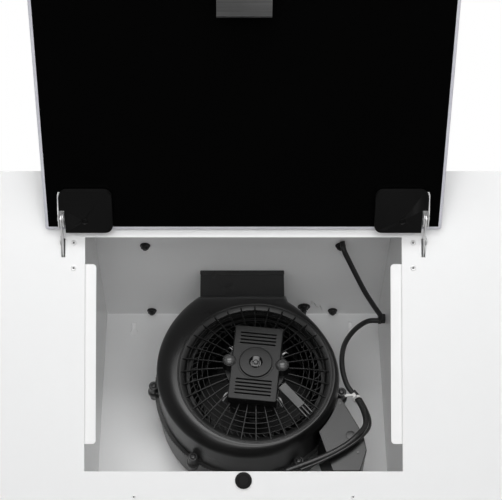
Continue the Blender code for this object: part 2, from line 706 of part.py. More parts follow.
def build_scroll_half(name, is_front, material):
    duct_top = Z_TOP - SHEET - GAP
    duct_foot = FAN_Z + 60
    round_depth = SHOULDER_Y - FAN_FRONT_Y
    if is_front:
        split = SPLIT_Y - GAP
        body = scroll_body(name, FAN_FRONT_Y, split, 0, round_depth, 0, material)
        duct = duct_box("add_front_duct", (DUCT_FRONT_Y, split), 0, (duct_foot, duct_top))
        flange = loft("add_front_flange",
                      [scroll_loop(split - FLANGE_THICKNESS, FLANGE_WIDTH),
                       scroll_loop(split, FLANGE_WIDTH)], None)
        hollow = scroll_body("cut_front_hollow", FAN_FRONT_Y + SCROLL_WALL, split + 5,
                             -SCROLL_WALL, round_depth, 0)
        duct_hollow = duct_box("cut_front_duct", (DUCT_FRONT_Y + SCROLL_WALL, split + 5),
                               SCROLL_WALL, (duct_foot + 15, duct_top + 5))
        lug_start, lug_depth = split, -LUG_FRONT_DEPTH
    else:
        split = SPLIT_Y + GAP
        body = scroll_body(name, split, SCROLL_REAR_Y, 0, 0, 6.0, material)
        duct = duct_box("add_rear_duct", (split, DUCT_REAR_Y), 0, (duct_foot, duct_top))
        flange = loft("add_rear_flange",
                      [scroll_loop(split, FLANGE_WIDTH),
                       scroll_loop(split + FLANGE_THICKNESS, FLANGE_WIDTH)], None)
        hollow = scroll_body("cut_rear_hollow", split - 5, SCROLL_REAR_Y - SCROLL_WALL,
                             -SCROLL_WALL, 0, 5.0)
        duct_hollow = duct_box("cut_rear_duct", (split - 5, DUCT_REAR_Y - SCROLL_WALL),
                               SCROLL_WALL, (duct_foot + 15, duct_top + 5))
        lug_start, lug_depth = split, LUG_REAR_DEPTH
    weld(body, duct, flange)
    for angle in LUG_ANGLES.values():
        weld(body, rod("add_lug", lug_centre(angle, min(lug_start, lug_start + lug_depth)),
                       (0, 1, 0), abs(lug_depth), LUG_R, segments=16))
    if not is_front:
        for angle in (45, 150, 210, 330):
            weld(body, rod("add_foot", beside_fan(angle, 80, SCROLL_REAR_Y - 1), (0, 1, 0),
                           -SCROLL_REAR_Y + 1 - SHEET - GAP, 7, segments=16))
    cut(body, hollow, duct_hollow)
    if is_front:
        cut(body, rod("cut_inlet", (FAN_X, FAN_FRONT_Y - 5, FAN_Z), (0, 1, 0), 20, INLET_R,
                      segments=STATIONS))
    for angle in LUG_ANGLES.values():
        cut(body, rod("cut_lug_hole", lug_centre(angle, SPLIT_Y - 30), (0, 1, 0), 60,
                      LUG_HOLE_R, segments=12))


def build_lug_screws(material):
    """Screws that close the scroll: pan head in front of each lug, shank through both."""
    for place, angle in LUG_ANGLES.items():
        front = SPLIT_Y - GAP - LUG_FRONT_DEPTH - GAP
        profile = [(-3.0, 2.6), (-2.4, 4.0), (0, 4.4), (0, 1.6), (26, 1.6), (28, 0.6)]
        turned("lug_screw_" + place, lug_centre(angle, front), (0, 1, 0), profile, material, 8)


# ---------------------------------------------------------------- grille, wheel and motor
def paired_turns(count, narrow_degrees):
    """Angles of alternating narrow and wide cells round a circle."""
    turns = []
    for i in range(count):
        centre = 360 * i / count
        turns += [radians(centre - narrow_degrees / 2), radians(centre + narrow_degrees / 2)]
    return turns


def build_inlet_grille(material):
    hub, ring_cell, rim = 0, 2, 4

    def is_solid(i, j, _k):
        return i % 2 == 0 or j in (hub, ring_cell, rim)

    grille = polar_blocks("inlet_grille", paired_turns(GRILLE_SPOKES, GRILLE_SPOKE_DEGREES),
                          GRILLE_RADII, (GRILLE_FRONT_Y, GRILLE_REAR_Y), is_solid, material)
    for sign in (-1, 1):
        cut(grille, rod("cut_grille_screw", on_cover(sign * COVER_SCREW_X, 0, GRILLE_FRONT_Y - 5),
                        (0, 1, 0), 16, RIVET_HOLE_R, segments=12))


def build_impeller(material):
    """Forward-bladed wheel: hub and rear disc, blades, and a front ring."""
    hub, blade_inner, blade_outer = 0, 2, 3

    def is_solid(i, j, k):
        if k == 0:
            return j == blade_outer
        if k == 3:
            return True
        if k == 2 and j == hub:
            return True
        return j in (blade_inner, blade_outer) and i % 2 == 0

    polar_blocks("impeller", paired_turns(BLADES, BLADE_DEGREES), WHEEL_RADII, WHEEL_LEVELS,
                 is_solid, material)


def on_cover(across, up, y):
    """Point on the motor cover, which sits turned a little clockwise on the fan's axis."""
    turned_x = across * cos(COVER_TILT) - up * sin(COVER_TILT)
    turned_z = across * sin(COVER_TILT) + up * cos(COVER_TILT)
    return Vector((FAN_X + turned_x, y, FAN_Z + turned_z))


def cover_block(name, across, up, y_range, material=None):
    outline = [on_cover(a, b, y_range[0]) for a, b in
               ((across[0], up[0]), (across[1], up[0]), (across[1], up[1]), (across[0], up[1]))]
    return prism(name, outline, Vector((0, y_range[1] - y_range[0], 0)), material)


def build_motor(body_material, shaft_material):
    """Square lamination stack between two round end bells, with the shaft through them."""
    motor = cover_block("motor_body", (-STACK_HALF, STACK_HALF), (-STACK_HALF, STACK_HALF),
                        (STACK_FRONT_Y, STACK_REAR_Y), body_material)
    weld(motor, rod("add_end_bells", (FAN_X, MOTOR_FRONT_Y, FAN_Z), (0, 1, 0),
                    MOTOR_REAR_Y - MOTOR_FRONT_Y, END_BELL_R, segments=32))
    cut(motor, rod("cut_bearing_bore", (FAN_X, MOTOR_FRONT_Y - 5, FAN_Z), (0, 1, 0), 90,
                   SHAFT_R + GAP, segments=24))
    length = SHAFT_REAR_Y - SHAFT_FRONT_Y
    profile = [(0, SHAFT_R - 0.6), (0.6, SHAFT_R), (length - 0.6, SHAFT_R), (length, SHAFT_R - 0.6)]
    turned("motor_shaft", (FAN_X, SHAFT_FRONT_Y, FAN_Z), (0, 1, 0), profile, shaft_material, 24)


def build_motor_cover(cover_material, screw_material):
    """Slotted plastic cap with two screw ears and a raised disc round the shaft end."""
    rear = GRILLE_FRONT_Y - GAP
    outline = [on_cover(a, b, COVER_FRONT_Y) for a, b in
               rounded_outline(COVER_HALF_WIDTH, COVER_HALF_HEIGHT, 3, 2)]
    cover = prism("motor_cover", outline, Vector((0, rear - COVER_FRONT_Y, 0)), cover_material)
    ear_front = COVER_FRONT_Y - 1
    for sign in (-1, 1):
        weld(cover, rod("add_cover_ear", on_cover(sign * COVER_SCREW_X, 0, ear_front), (0, 1, 0),
                        rear - ear_front, COVER_BOSS_R, segments=20))
    weld(cover, rod("add_cover_disc", on_cover(0, 0, COVER_FRONT_Y - 2.5), (0, 1, 0), 6,
                    COVER_DISC_R, segments=32))
    cut(cover, rod("cut_shaft_recess", on_cover(0, 0, COVER_FRONT_Y - 8), (0, 1, 0), 30, 7,
                   segments=20))
    slot_half, slot_height, pitch = 21.5, 2.0, 4.6
    for first, count in ((COVER_HALF_HEIGHT - 9, 4), (-COVER_HALF_HEIGHT + 27, 5)):
        for i in range(count):
            up = first - pitch * i
            cut(cover, cover_block("cut_slot", (-slot_half, slot_half), (up - slot_height, up),
                                   (COVER_FRONT_Y - 5, rear + 5)))
    for side, sign in (("left", -1), ("right", 1)):
        seat = on_cover(sign * COVER_SCREW_X, 0, ear_front)
        cut(cover, rod("cut_cover_screw", seat - Vector((0, 5, 0)), (0, 1, 0), 30, RIVET_HOLE_R,
                       segments=12))
        profile = [(-3.4, 2.4), (-2.6, 4.6), (-GAP, 6.2), (-GAP, 1.6), (20, 1.6)]
        turned("cover_screw_" + side, seat, (0, 1, 0), profile, screw_material, 12)


def build_cable_channel(material):
    """Flat channel that carries the motor leads from the cover to the grille's rim."""
    front, rear = GRILLE_FRONT_Y - 4.5, GRILLE_FRONT_Y - GAP
    start, end = beside_fan(-39, 47, front), beside_fan(-43, 84, front)
    along = (end - start).normalized()
    across = Vector((along.z, 0, -along.x)) * 5.5
    outline = [start - across, end - across, end + across, start + across]
    channel = prism("cable_channel", outline, Vector((0, rear - front, 0)), material)
    lead = Vector((0, 1.6, 0))
    groove = [start + along * 22 - across * 0.6, end + along * 5 - across * 0.6,
              end + along * 5 + across * 0.6, start + along * 22 + across * 0.6]
    cut(channel, prism("cut_channel_groove", [p - lead * 2 for p in groove], lead * 3))


# ---------------------------------------------------------------- wiring and terminal box
TERMINAL_FRONT_Y = -118.0
TERMINAL_REAR_Y = -48.0
TERMINAL_LID = 2.5
TERMINAL_WALL = 2.0
TERMINAL_OUTLINE = ((88, -222), (109, -182), (118, -184), (142, -231), (145, -251),
                    (136, -277), (104, -277))


def terminal_points(y, inset=0.0):
    """Outline of the terminal box, given as X and depth below the top, drawn in by inset."""
    centre_x = sum(x for x, _ in TERMINAL_OUTLINE) / len(TERMINAL_OUTLINE)
    centre_z = sum(z for _, z in TERMINAL_OUTLINE) / len(TERMINAL_OUTLINE)
    points = []
    for x, z in TERMINAL_OUTLINE:
        offset = Vector((x - centre_x, z - centre_z))
        offset *= 1 - inset / offset.length * 1.2
        points.append(Vector((centre_x + offset.x, y, Z_TOP + centre_z + offset.y)))
    return points


def build_terminal_box(material, capacitor_material):
    beside_scroll = SCROLL_MIN_R + SCROLL_SHIFT + 0.8
    beside_flange = SCROLL_MIN_R + SCROLL_SHIFT + FLANGE_WIDTH + 1.0
    clearance = rod("cut_scroll_clearance", (FAN_X, -160, FAN_Z), (0, 1, 0), 140,
                    beside_flange, segments=64)
    lid_clearance = rod("cut_lid_clearance", (FAN_X, -160, FAN_Z), (0, 1, 0), 140,
                        beside_scroll, segments=64)
    rear = TERMINAL_REAR_Y
    front = TERMINAL_FRONT_Y + TERMINAL_LID + GAP
    tray = prism("terminal_box", terminal_points(front), Vector((0, rear - front, 0)), material)
    cut(tray, clearance)
    cut(tray, prism("cut_terminal_hollow", terminal_points(front - 5, TERMINAL_WALL + 3),
                    Vector((0, rear - front - TERMINAL_WALL + 5, 0))))
    lid = prism("terminal_box_lid", terminal_points(TERMINAL_FRONT_Y),
                Vector((0, TERMINAL_LID, 0)), material)
    cut(lid, lid_clearance)
    rod("run_capacitor", (124, front + 4, Z_TOP - 248), (0, 1, 0), 50, 10, capacitor_material, 20)


CABLE_CLAMP_AT = Vector((177.0, -85.0, Z_TOP - 56.0))
TIE_KNOT = 6

# Cable knots: X, Y and depth below the top
MAINS_KNOTS = ((122, -184.5, -3.4), (124, -180, -13), (131, -167, -21), (150.5, -130, -39),
               (164.5, -107.5, -49.5), (174, -92, -54.5))
BLOWER_KNOTS = ((174, -80, -56), (158, -80, -57.5), (140, -83, -73), (127, -87, -96),
                (123, -90, -124), (127.5, -92, -152), (139, -96, -174), (145, -108, -197),
                (145, -120, -219), (135, -126.5, -235), (118, -128, -250), (92, -128, -264),
                (50, -128, -281))


def below_top(knots):
    return [Vector((x, y, Z_TOP + z)) for x, y, z in knots]


def build_wiring(cable_material, tie_material, clamp_material):
    cable("mains_cable", below_top(MAINS_KNOTS), CABLE_R, cable_material)
    knots = below_top(BLOWER_KNOTS)
    cable("blower_cable", knots, CABLE_R, cable_material)
    along = (knots[TIE_KNOT + 1] - knots[TIE_KNOT - 1]).normalized()
    tie_start = knots[TIE_KNOT] - along * 1.7
    tie = turned("cable_tie", tie_start, along, [(0, 5.4), (3.4, 5.4)], tie_material, 16)
    cut(tie, rod("cut_tie_bore", tie_start - along * 8, along, 20, CABLE_R + 0.9, segments=16))
    at = CABLE_CLAMP_AT
    box("cable_clamp", (at.x - 1.2, CHAMBER_WALL_X - GAP), (at.y - 4, at.y + 4),
        (at.z - 5, at.z + 5), clamp_material)


# ---------------------------------------------------------------- underside
def build_controls(bezel_material, button_material):
    """Flush bezel with four round push buttons, pressed upwards."""
    half = max(BUTTON_XS.values()) + BUTTON_R + 6
    outline = [Vector((a, CONTROL_Y + b, Z_BOTTOM - GAP)) for a, b in
               rounded_outline(half, 14, 5, 3)]
    bezel = prism("control_bezel", outline, Vector((0, 0, -2.0)), bezel_material)
    for name, x in BUTTON_XS.items():
        cut(bezel, rod("cut_button_hole", (x, CONTROL_Y, Z_BOTTOM - 10), (0, 0, 1), 20,
                       BUTTON_R + 0.4, segments=16))
        tip = Z_BOTTOM - GAP - 2.0 - BUTTON_PROUD
        profile = [(0, BUTTON_R - 0.8), (0.8, BUTTON_R), (BUTTON_PROUD + 8, BUTTON_R)]
        turned(name, (x, CONTROL_Y, tip), (0, 0, 1), profile, button_material, 16)


def build_lamps(material):
    for side, sign in (("left", -1), ("right", 1)):
        profile = [(-2.0, LAMP_R - 1.5), (-1.2, LAMP_R), (-GAP, LAMP_R), (-GAP, LAMP_R - 4),
                   (12, LAMP_R - 4)]
        turned("lamp_" + side, (sign * LAMP_X, LAMP_Y, Z_BOTTOM), (0, 0, 1), profile, material, 24)


def build_hood():
    cabinet = make_material("cabinet_white", CABINET_WHITE, 0.3)
    inner = make_material("inner_white", INNER_WHITE, 0.45)
    plastic = make_material("black_plastic", BLACK_PLASTIC, 0.5)
    glass = make_material("black_glass", (0.004, 0.004, 0.004), 0.04)
    bright = make_material("zinc_steel", (0.75, 0.75, 0.76), 0.3, 1.0)
    brushed = make_material("brushed_steel", (0.5, 0.5, 0.5), 0.35, 1.0)
    dark_steel = make_material("motor_steel", (0.25, 0.25, 0.26), 0.4, 1.0)
    rubber = make_material("black_cable", (0.015, 0.015, 0.016), 0.45)
    nylon = make_material("white_nylon", (0.75, 0.75, 0.75), 0.5)
    lamp = make_material("lamp_lens", (0.9, 0.9, 0.88), 0.25)

    build_front_panel(cabinet)
    build_back_panel(inner)
    build_top_panel(inner)
    build_bottom_panel(cabinet)
    build_side_panels(cabinet)
    build_chamber_walls(inner)

    build_door_glass(glass)
    build_strike_bracket(brushed)
    for side in ("left", "right"):
        build_hinge_pad(side, plastic)
        build_hinge_clevis(side, bright)
        build_hinge_pin(side, bright)
        build_hinge_arm(side, bright)
    build_rivets(cabinet)
    build_magnet(plastic)

    build_outlet_collar(plastic)
    build_dampers(plastic, bright)
    build_collar_screws(plastic)

    build_scroll_half("scroll_front_half", True, plastic)
    build_scroll_half("scroll_rear_half", False, plastic)
    build_lug_screws(dark_steel)
    build_inlet_grille(plastic)
    build_impeller(plastic)
    build_motor(dark_steel, bright)
    build_motor_cover(plastic, bright)
    build_cable_channel(plastic)
    build_terminal_box(plastic, nylon)
    build_wiring(rubber, nylon, plastic)

    build_controls(plastic, plastic)
    build_lamps(lamp)


clear_scene()
build_hood()
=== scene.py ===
"""Looks for the 600 mm inclined cooker hood: materials, fine meshes, light and camera.

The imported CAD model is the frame. The outer panels, hinge arms and pins stay and get bevels
and paint; the chamber walls, door, blower, cables, screws and controls get finer meshes that
stand for their nodes.

+X is to the right, +Z is up and the wall is the plane Y = 0. Lengths here are millimetres,
and the mesh helpers turn them into metres. The camera, the lights and the floor's height are
in metres.
"""

import json
from math import cos, degrees, exp, pi, radians, sin, tan

import bmesh
import bpy
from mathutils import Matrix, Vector


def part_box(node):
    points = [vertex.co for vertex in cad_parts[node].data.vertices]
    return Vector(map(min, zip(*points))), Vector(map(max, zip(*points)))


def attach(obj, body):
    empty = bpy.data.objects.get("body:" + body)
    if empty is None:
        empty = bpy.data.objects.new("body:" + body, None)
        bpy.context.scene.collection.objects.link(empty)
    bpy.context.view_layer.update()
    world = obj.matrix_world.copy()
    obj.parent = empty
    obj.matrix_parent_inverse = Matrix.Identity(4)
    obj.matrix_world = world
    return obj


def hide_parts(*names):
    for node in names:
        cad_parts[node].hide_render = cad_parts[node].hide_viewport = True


MM = 0.001
BACK = Vector((0, 1, 0))
UP = Vector((0, 0, 1))
SIDES = (("left", -1), ("right", 1))

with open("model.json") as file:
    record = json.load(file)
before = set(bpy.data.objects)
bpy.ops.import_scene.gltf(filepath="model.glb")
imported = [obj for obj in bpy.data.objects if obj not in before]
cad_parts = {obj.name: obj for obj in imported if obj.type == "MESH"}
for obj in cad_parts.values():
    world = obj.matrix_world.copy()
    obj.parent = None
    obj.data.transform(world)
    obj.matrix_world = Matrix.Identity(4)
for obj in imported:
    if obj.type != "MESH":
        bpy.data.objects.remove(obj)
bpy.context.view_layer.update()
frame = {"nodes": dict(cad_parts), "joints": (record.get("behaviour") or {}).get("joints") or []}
JOINTS = {joint["name"]: joint for joint in frame["joints"]}


# ---------------------------------------------------------------- sizes from the frame
def node_box(name):
    low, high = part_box(name)
    return low / MM, high / MM


def node_span(name):
    """Lowest corner, highest corner and middle of a node's box."""
    low, high = node_box(name)
    return low, high, (low + high) / 2


def joint_place(name):
    return Vector(JOINTS[name]["pos_m"]) / MM


FRONT_LOW, FRONT_HIGH = node_box("front_panel")
TOP_DEPTH = -FRONT_LOW.y
Z_TOP = FRONT_HIGH.z
Z_BOTTOM = FRONT_LOW.z
FACE_LEAN = radians(30.0)
SHEET = 1.0
GAP = 0.3
SHEET_EDGE_ROUND = 0.35
SHEET_SHARP_ABOVE = 32
SOFT_ABOVE = 35
SLOPE_DOWN = Vector((0, sin(FACE_LEAN), -cos(FACE_LEAN)))
FACE_OUT = Vector((0, -cos(FACE_LEAN), -sin(FACE_LEAN)))

LIP_TOP = 106.2
LIP_BOTTOM = 310.2
LIP_RECESS = 3.3

# Door: measured from its pin line, t up the glass from its hinge edge, m in from the glass
PIN = joint_place("door_hinge")
DOOR_OPEN_ANGLE = radians(32.6)
DOOR_ALONG = -SLOPE_DOWN * cos(DOOR_OPEN_ANGLE) + FACE_OUT * sin(DOOR_OPEN_ANGLE)
DOOR_INWARD = SLOPE_DOWN * sin(DOOR_OPEN_ANGLE) + FACE_OUT * cos(DOOR_OPEN_ANGLE)
DOOR_HALF_WIDTH = node_box("door_glass")[1].x
DOOR_LENGTH = 390.0
GLASS_THICKNESS = 6.0
PIN_TO_HINGE_EDGE = 17.5
PIN_OFF_GLASS = 7.0
CLEAR_BORDER = 3.5

# Blower: its axis runs along Y
FAN = joint_place("wheel_spin")
FAN_AXIS = Vector((FAN.x, 0, FAN.z))
SPLIT_Y = -68.0
FAN_FRONT_Y = node_box("scroll_front_half")[0].y
SHOULDER_Y = FAN_FRONT_Y + 18.0
SCROLL_REAR_Y = -6.0
SCROLL_WALL = 2.5
INLET_R = 92.6
SHOULDER_START_R = 94.5
SCROLL_MIN_R = 99.0
SPIRAL_BASE_R = 81.0
SPIRAL_GROWTH = 0.001625
SCROLL_SHIFT = 2.3
TONGUE_ANGLE = 70.0
TONGUE_FLARE = 13.0
TONGUE_FLARE_SPAN = 45.0
THROAT_ANGLE = 122.0
THROAT_HEIGHT = 112.5
FLANGE_WIDTH = 3.5
FLANGE_DEPTH = 2.2
STATIONS = 120
DUCT_X = (-53.4, 52.4)
DUCT_FRONT_Y = -112.7
DUCT_REAR_Y = -38.0
LUG_ANGLES = {"left": 177.0, "lower_left": 229.5, "lower_right": 299.0, "right": 359.0}
LUG_OUTSET = 5.0
LUG_R = 6.0
FOOT_ANGLES = (45, 150, 210, 330)
FLANGE_TEETH = 150
BLADES = 60
MOTOR_HALF = 29.0
MOTOR_FRONT_Y = -118.0
MOTOR_DEPTH = 46.0
MOTOR_PLATES = 23

GRILLE_LOW = node_box("inlet_grille")[0]
GRILLE_SPOKES = 32
GUARD_HUB_R = 27.0
GUARD_RIM_R = 91.6
GUARD_DOME = 9.0
COVER_TILT = radians(-6.0)
COVER_HALF = Vector((29.0, 49.0))
COVER_FRONT_Y = node_box("motor_cover")[0].y + 2.5
COVER_SCREW_X = 31.5

COLLAR_LOW, COLLAR_HIGH = node_box("outlet_collar")
COLLAR_BORE_R = 73.4
COLLAR_SCREW_X = 120.7
COLLAR_SCREW_YS = {"front": -172.0, "rear": -9.5}
FLAP_LINE = joint_place("damper_left_swing")

HINGE_ARM_X = 204.7
HINGE_RIVET_X = 193.0
HINGE_RIVET_SLOPES = {"upper": 81.9, "lower": 110.7}
FOOT_RIVET_X = 124.0
FOOT_RIVET_SLOPE = 369.3
PAD_SCREW_X = 178.0
PAD_SCREW_T = 15.5

CABLE_R = 3.25
STEPS_PER_KNOT = 12


# ---------------------------------------------------------------- mesh helpers
def shade(mesh, smooth_below):
    mesh.shade_smooth()
    mesh.set_sharp_from_angle(angle=radians(smooth_below))


def add_mesh(name, bm, materials, smooth_below=40):
    """Turn a bmesh, in millimetres, into a named object in metres."""
    bmesh.ops.recalc_face_normals(bm, faces=bm.faces)
    bmesh.ops.scale(bm, vec=(MM, MM, MM), verts=bm.verts)
    mesh = bpy.data.meshes.new(name)
    bm.to_mesh(mesh)
    bm.free()
    item = bpy.data.objects.new(name, mesh)
    bpy.context.scene.collection.objects.link(item)
    for material in materials if isinstance(materials, (list, tuple)) else [materials]:
        mesh.materials.append(material)
    shade(mesh, smooth_below)
    return item


def loft(name, loops, material, closed=False, smooth_below=40):
    """Solid through equal-length loops of points: capped at both ends, or closed on itself."""
    bm = bmesh.new()
    rows = [[bm.verts.new(point) for point in loop] for loop in loops]
    count = len(rows[0])
    pairs = list(zip(rows, rows[1:]))
    if closed:
        pairs.append((rows[-1], rows[0]))
    for lower, upper in pairs:
        for i in range(count):
            j = (i + 1) % count
            bm.faces.new((lower[i], lower[j], upper[j], upper[i]))
    if not closed:
        bm.faces.new(rows[0])
        bm.faces.new(list(reversed(rows[-1])))
    return add_mesh(name, bm, material, smooth_below)


def sheet(name, corners, material):
    """A single flat face."""
    bm = bmesh.new()
    bm.faces.new([bm.verts.new(corner) for corner in corners])
    return add_mesh(name, bm, material)


def prism(name, outline, push, material=None):
    return loft(name, [outline, [point + push for point in outline]], material)


def axis_frame(axis):
    axis = Vector(axis).normalized()
    guide = UP if abs(axis.z) < 0.9 else Vector((1, 0, 0))
    side = axis.cross(guide).normalized()
    return side, axis.cross(side)


def circle(centre, side, other, radius, count, first=0.0):
    turns = [2 * pi * i / count + first for i in range(count)]
    return [centre + radius * (cos(t) * side + sin(t) * other) for t in turns]


def ring(centre, axis, radius, segments):
    return circle(Vector(centre), *axis_frame(axis), radius, segments)


def turned(name, start, axis, profile, material=None, segments=48, closed=False):
    """Solid of revolution: profile holds (distance along axis, radius) pairs."""
    axis = Vector(axis).normalized()
    loops = [ring(Vector(start) + axis * along, axis, radius, segments)
             for along, radius in profile]
    return loft(name, loops, material, closed=closed, smooth_below=32)


def rod(name, start, axis, length, radius, material=None, segments=48):
    return turned(name, start, axis, [(0.0, radius), (length, radius)], material, segments)


def box(name, x_range, y_range, z_range, material=None):
    outline = [Vector((x, y, z_range[0])) for x, y in
               ((x_range[0], y_range[0]), (x_range[1], y_range[0]),
                (x_range[1], y_range[1]), (x_range[0], y_range[1]))]
    return prism(name, outline, UP * (z_range[1] - z_range[0]), material)


def quarter(across, up, radius, first, steps):
    """Quarter circle about a centre, from an angle given in quarter turns."""
    turns = [pi / 2 * (first + step / steps) for step in range(steps + 1)]
    return [(across + radius * cos(turn), up + radius * sin(turn)) for turn in turns]


def rounded_outline(half_width, half_height, radius, steps=6):
    """Rounded rectangle about the origin, counter-clockwise."""
    points = []
    for first, (sx, sy) in enumerate(((1, 1), (-1, 1), (-1, -1), (1, -1))):
        points += quarter(sx * (half_width - radius), sy * (half_height - radius), radius,
                          first, steps)
    return points


def apply_modifiers(item):
    """Bake the modifiers into the mesh, so the piece is plain and its tools can go."""
    depsgraph = bpy.context.evaluated_depsgraph_get()
    mesh = bpy.data.meshes.new_from_object(item.evaluated_get(depsgraph))
    item.modifiers.clear()
    item.data = mesh


def combine(target, tools, operation):
    """Boolean the tools into the target, then remove them."""
    for tool in tools:
        step = target.modifiers.new("combine", "BOOLEAN")
        step.operation = operation
        step.solver = "EXACT"
        step.object = tool
    apply_modifiers(target)
    for tool in tools:
        bpy.data.objects.remove(tool, do_unlink=True)


def cut(target, *tools):
    combine(target, tools, "DIFFERENCE")


def weld(target, *tools):
    combine(target, tools, "UNION")


def even_shading(item):
    """Keep large faces flat-looking beside small rounded edges."""
    weighted = item.modifiers.new("even_shading", "WEIGHTED_NORMAL")
    weighted.keep_sharp = True


def repaint(item, material):
    """Leave one material on a piece whose cuts brought in others."""
    item.data.materials.clear()
    item.data.materials.append(material)


def refinish(item, material, smooth_below):
    """One material and clean shading for a piece after its cuts."""
    repaint(item, material)
    shade(item.data, smooth_below)
    even_shading(item)


def soften(item, width, segments=3):
    """Round the edges, as moulding and tooling do, and keep flat faces flat."""
    bevel = item.modifiers.new("soft_edge", "BEVEL")
    bevel.width = width * MM
    bevel.segments = segments
    bevel.limit_method = "ANGLE"
    bevel.angle_limit = radians(SOFT_ABOVE)
    bevel.use_clamp_overlap = True
    bevel.harden_normals = False
    even_shading(item)
    return item


def smooth_path(knots, steps=8):
    """Points on a Catmull-Rom curve through the knots."""
    knots = [Vector(knot) for knot in knots]
    ends = [2 * knots[0] - knots[1], *knots, 2 * knots[-1] - knots[-2]]
    points = []
    for a, b, c, d in zip(ends, ends[1:], ends[2:], ends[3:]):
        for step in range(steps):
            t = step / steps
            points.append(0.5 * (2 * b + (c - a) * t + (2 * a - 5 * b + 4 * c - d) * t * t
                                 + (3 * b - a - 3 * c + d) * t ** 3))
    points.append(knots[-1])
    return points


def tube(name, path, radius, material, sides=20):
    """Round tube along a path, its cross-section carried along without twisting."""
    tangents = [(path[min(i + 1, len(path) - 1)] - path[max(i - 1, 0)]).normalized()
                for i in range(len(path))]
    side = axis_frame(tangents[0])[0]
    loops = []
    for point, tangent in zip(path, tangents):
        side = (side - tangent * side.dot(tangent)).normalized()
        loops.append(circle(point, side, tangent.cross(side), radius, sides))
    return loft(name, loops, material, smooth_below=60)


def join(name, items):
    """Merge separate meshes into one piece that keeps every material."""
    bm = bmesh.new()
    materials = []
    for item in items:
        if item.modifiers:
            apply_modifiers(item)
        for polygon_material in item.data.materials:
            if polygon_material not in materials:
                materials.append(polygon_material)
        lookup = [materials.index(m) for m in item.data.materials]
        start = len(bm.faces)
        bm.from_mesh(item.data)
        bm.faces.ensure_lookup_table()
        for face in bm.faces[start:]:
            face.material_index = lookup[face.material_index] if lookup else 0
    mesh = bpy.data.meshes.new(name)
    bm.to_mesh(mesh)
    bm.free()
    for item in items:
        bpy.data.objects.remove(item, do_unlink=True)
    whole = bpy.data.objects.new(name, mesh)
    bpy.context.scene.collection.objects.link(whole)
    for material in materials:
        mesh.materials.append(material)
    even_shading(whole)
    return whole


def place(item, body, slot, *nodes):
    """Ride on a body and hide the CAD nodes the piece stands for; slot is not used."""
    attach(item, body)
    if nodes:
        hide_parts(*nodes)


# ---------------------------------------------------------------- places on the hood
def on_face(x, s, n):
    """Point on the sloping face: s down the slope from its top edge, n out of its surface."""
    return Vector((x, -TOP_DEPTH, Z_TOP)) + SLOPE_DOWN * s + FACE_OUT * n


def on_door(x, t, m):
    """Point on the open door: t from its hinge edge, m in from the glass's inner surface."""
    along = DOOR_ALONG * (t - PIN_TO_HINGE_EDGE)
    return PIN + Vector((x, 0, 0)) + along + DOOR_INWARD * (m - PIN_OFF_GLASS)


def beside_fan(angle_degrees, radius, y):
    turn = radians(angle_degrees)
    return Vector((FAN.x + radius * cos(turn), y, FAN.z + radius * sin(turn)))


def fan_spoke(angle_degrees):
    """Direction away from the fan's axis at an angle, and the one across it."""
    outward = (beside_fan(angle_degrees, 1, 0) - beside_fan(angle_degrees, 0, 0)).normalized()
    return outward, Vector((-outward.z, 0, outward.x))


def on_cover(across, up, y):
    """Point on the motor cover, which sits turned a little clockwise on the fan's axis."""
    return Vector((FAN.x + across * cos(COVER_TILT) - up * sin(COVER_TILT), y,
                   FAN.z + across * sin(COVER_TILT) + up * cos(COVER_TILT)))


# ---------------------------------------------------------------- materials
NOISE_RANGE = (0.3, 0.7)


def new_material(name):
    material = bpy.data.materials.new(name)
    material.use_nodes = True
    return material, material.node_tree.nodes, material.node_tree.links


def noise_node(nodes, links, scale, detail=3.0, stretch=None):
    """3-D noise in object space, in cells per metre, stretched along an axis if asked."""
    coordinates = nodes.new("ShaderNodeTexCoord")
    noise = nodes.new("ShaderNodeTexNoise")
    noise.inputs["Scale"].default_value = scale
    noise.inputs["Detail"].default_value = detail
    mapping = nodes.new("ShaderNodeMapping")
    mapping.inputs["Scale"].default_value = stretch or (1.0, 1.0, 1.0)
    links.new(coordinates.outputs["Object"], mapping.inputs["Vector"])
    links.new(mapping.outputs["Vector"], noise.inputs["Vector"])
    return noise


def ramp_between(nodes, links, source, low, high, source_range=NOISE_RANGE):
    """Map a value, most often noise, onto low..high."""
    ramp = nodes.new("ShaderNodeMapRange")
    ramp.inputs["From Min"].default_value = source_range[0]
    ramp.inputs["From Max"].default_value = source_range[1]
    ramp.inputs["To Min"].default_value = low
    ramp.inputs["To Max"].default_value = high
    links.new(source, ramp.inputs["Value"])
    return ramp.outputs["Result"]


def tint_between(nodes, links, source, dark, light):
    blend = nodes.new("ShaderNodeValToRGB")
    for element, position, tint in zip(blend.color_ramp.elements, NOISE_RANGE, (dark, light)):
        element.position = position
        element.color = (*tint, 1)
    links.new(source, blend.inputs["Fac"])
    return blend.outputs["Color"]


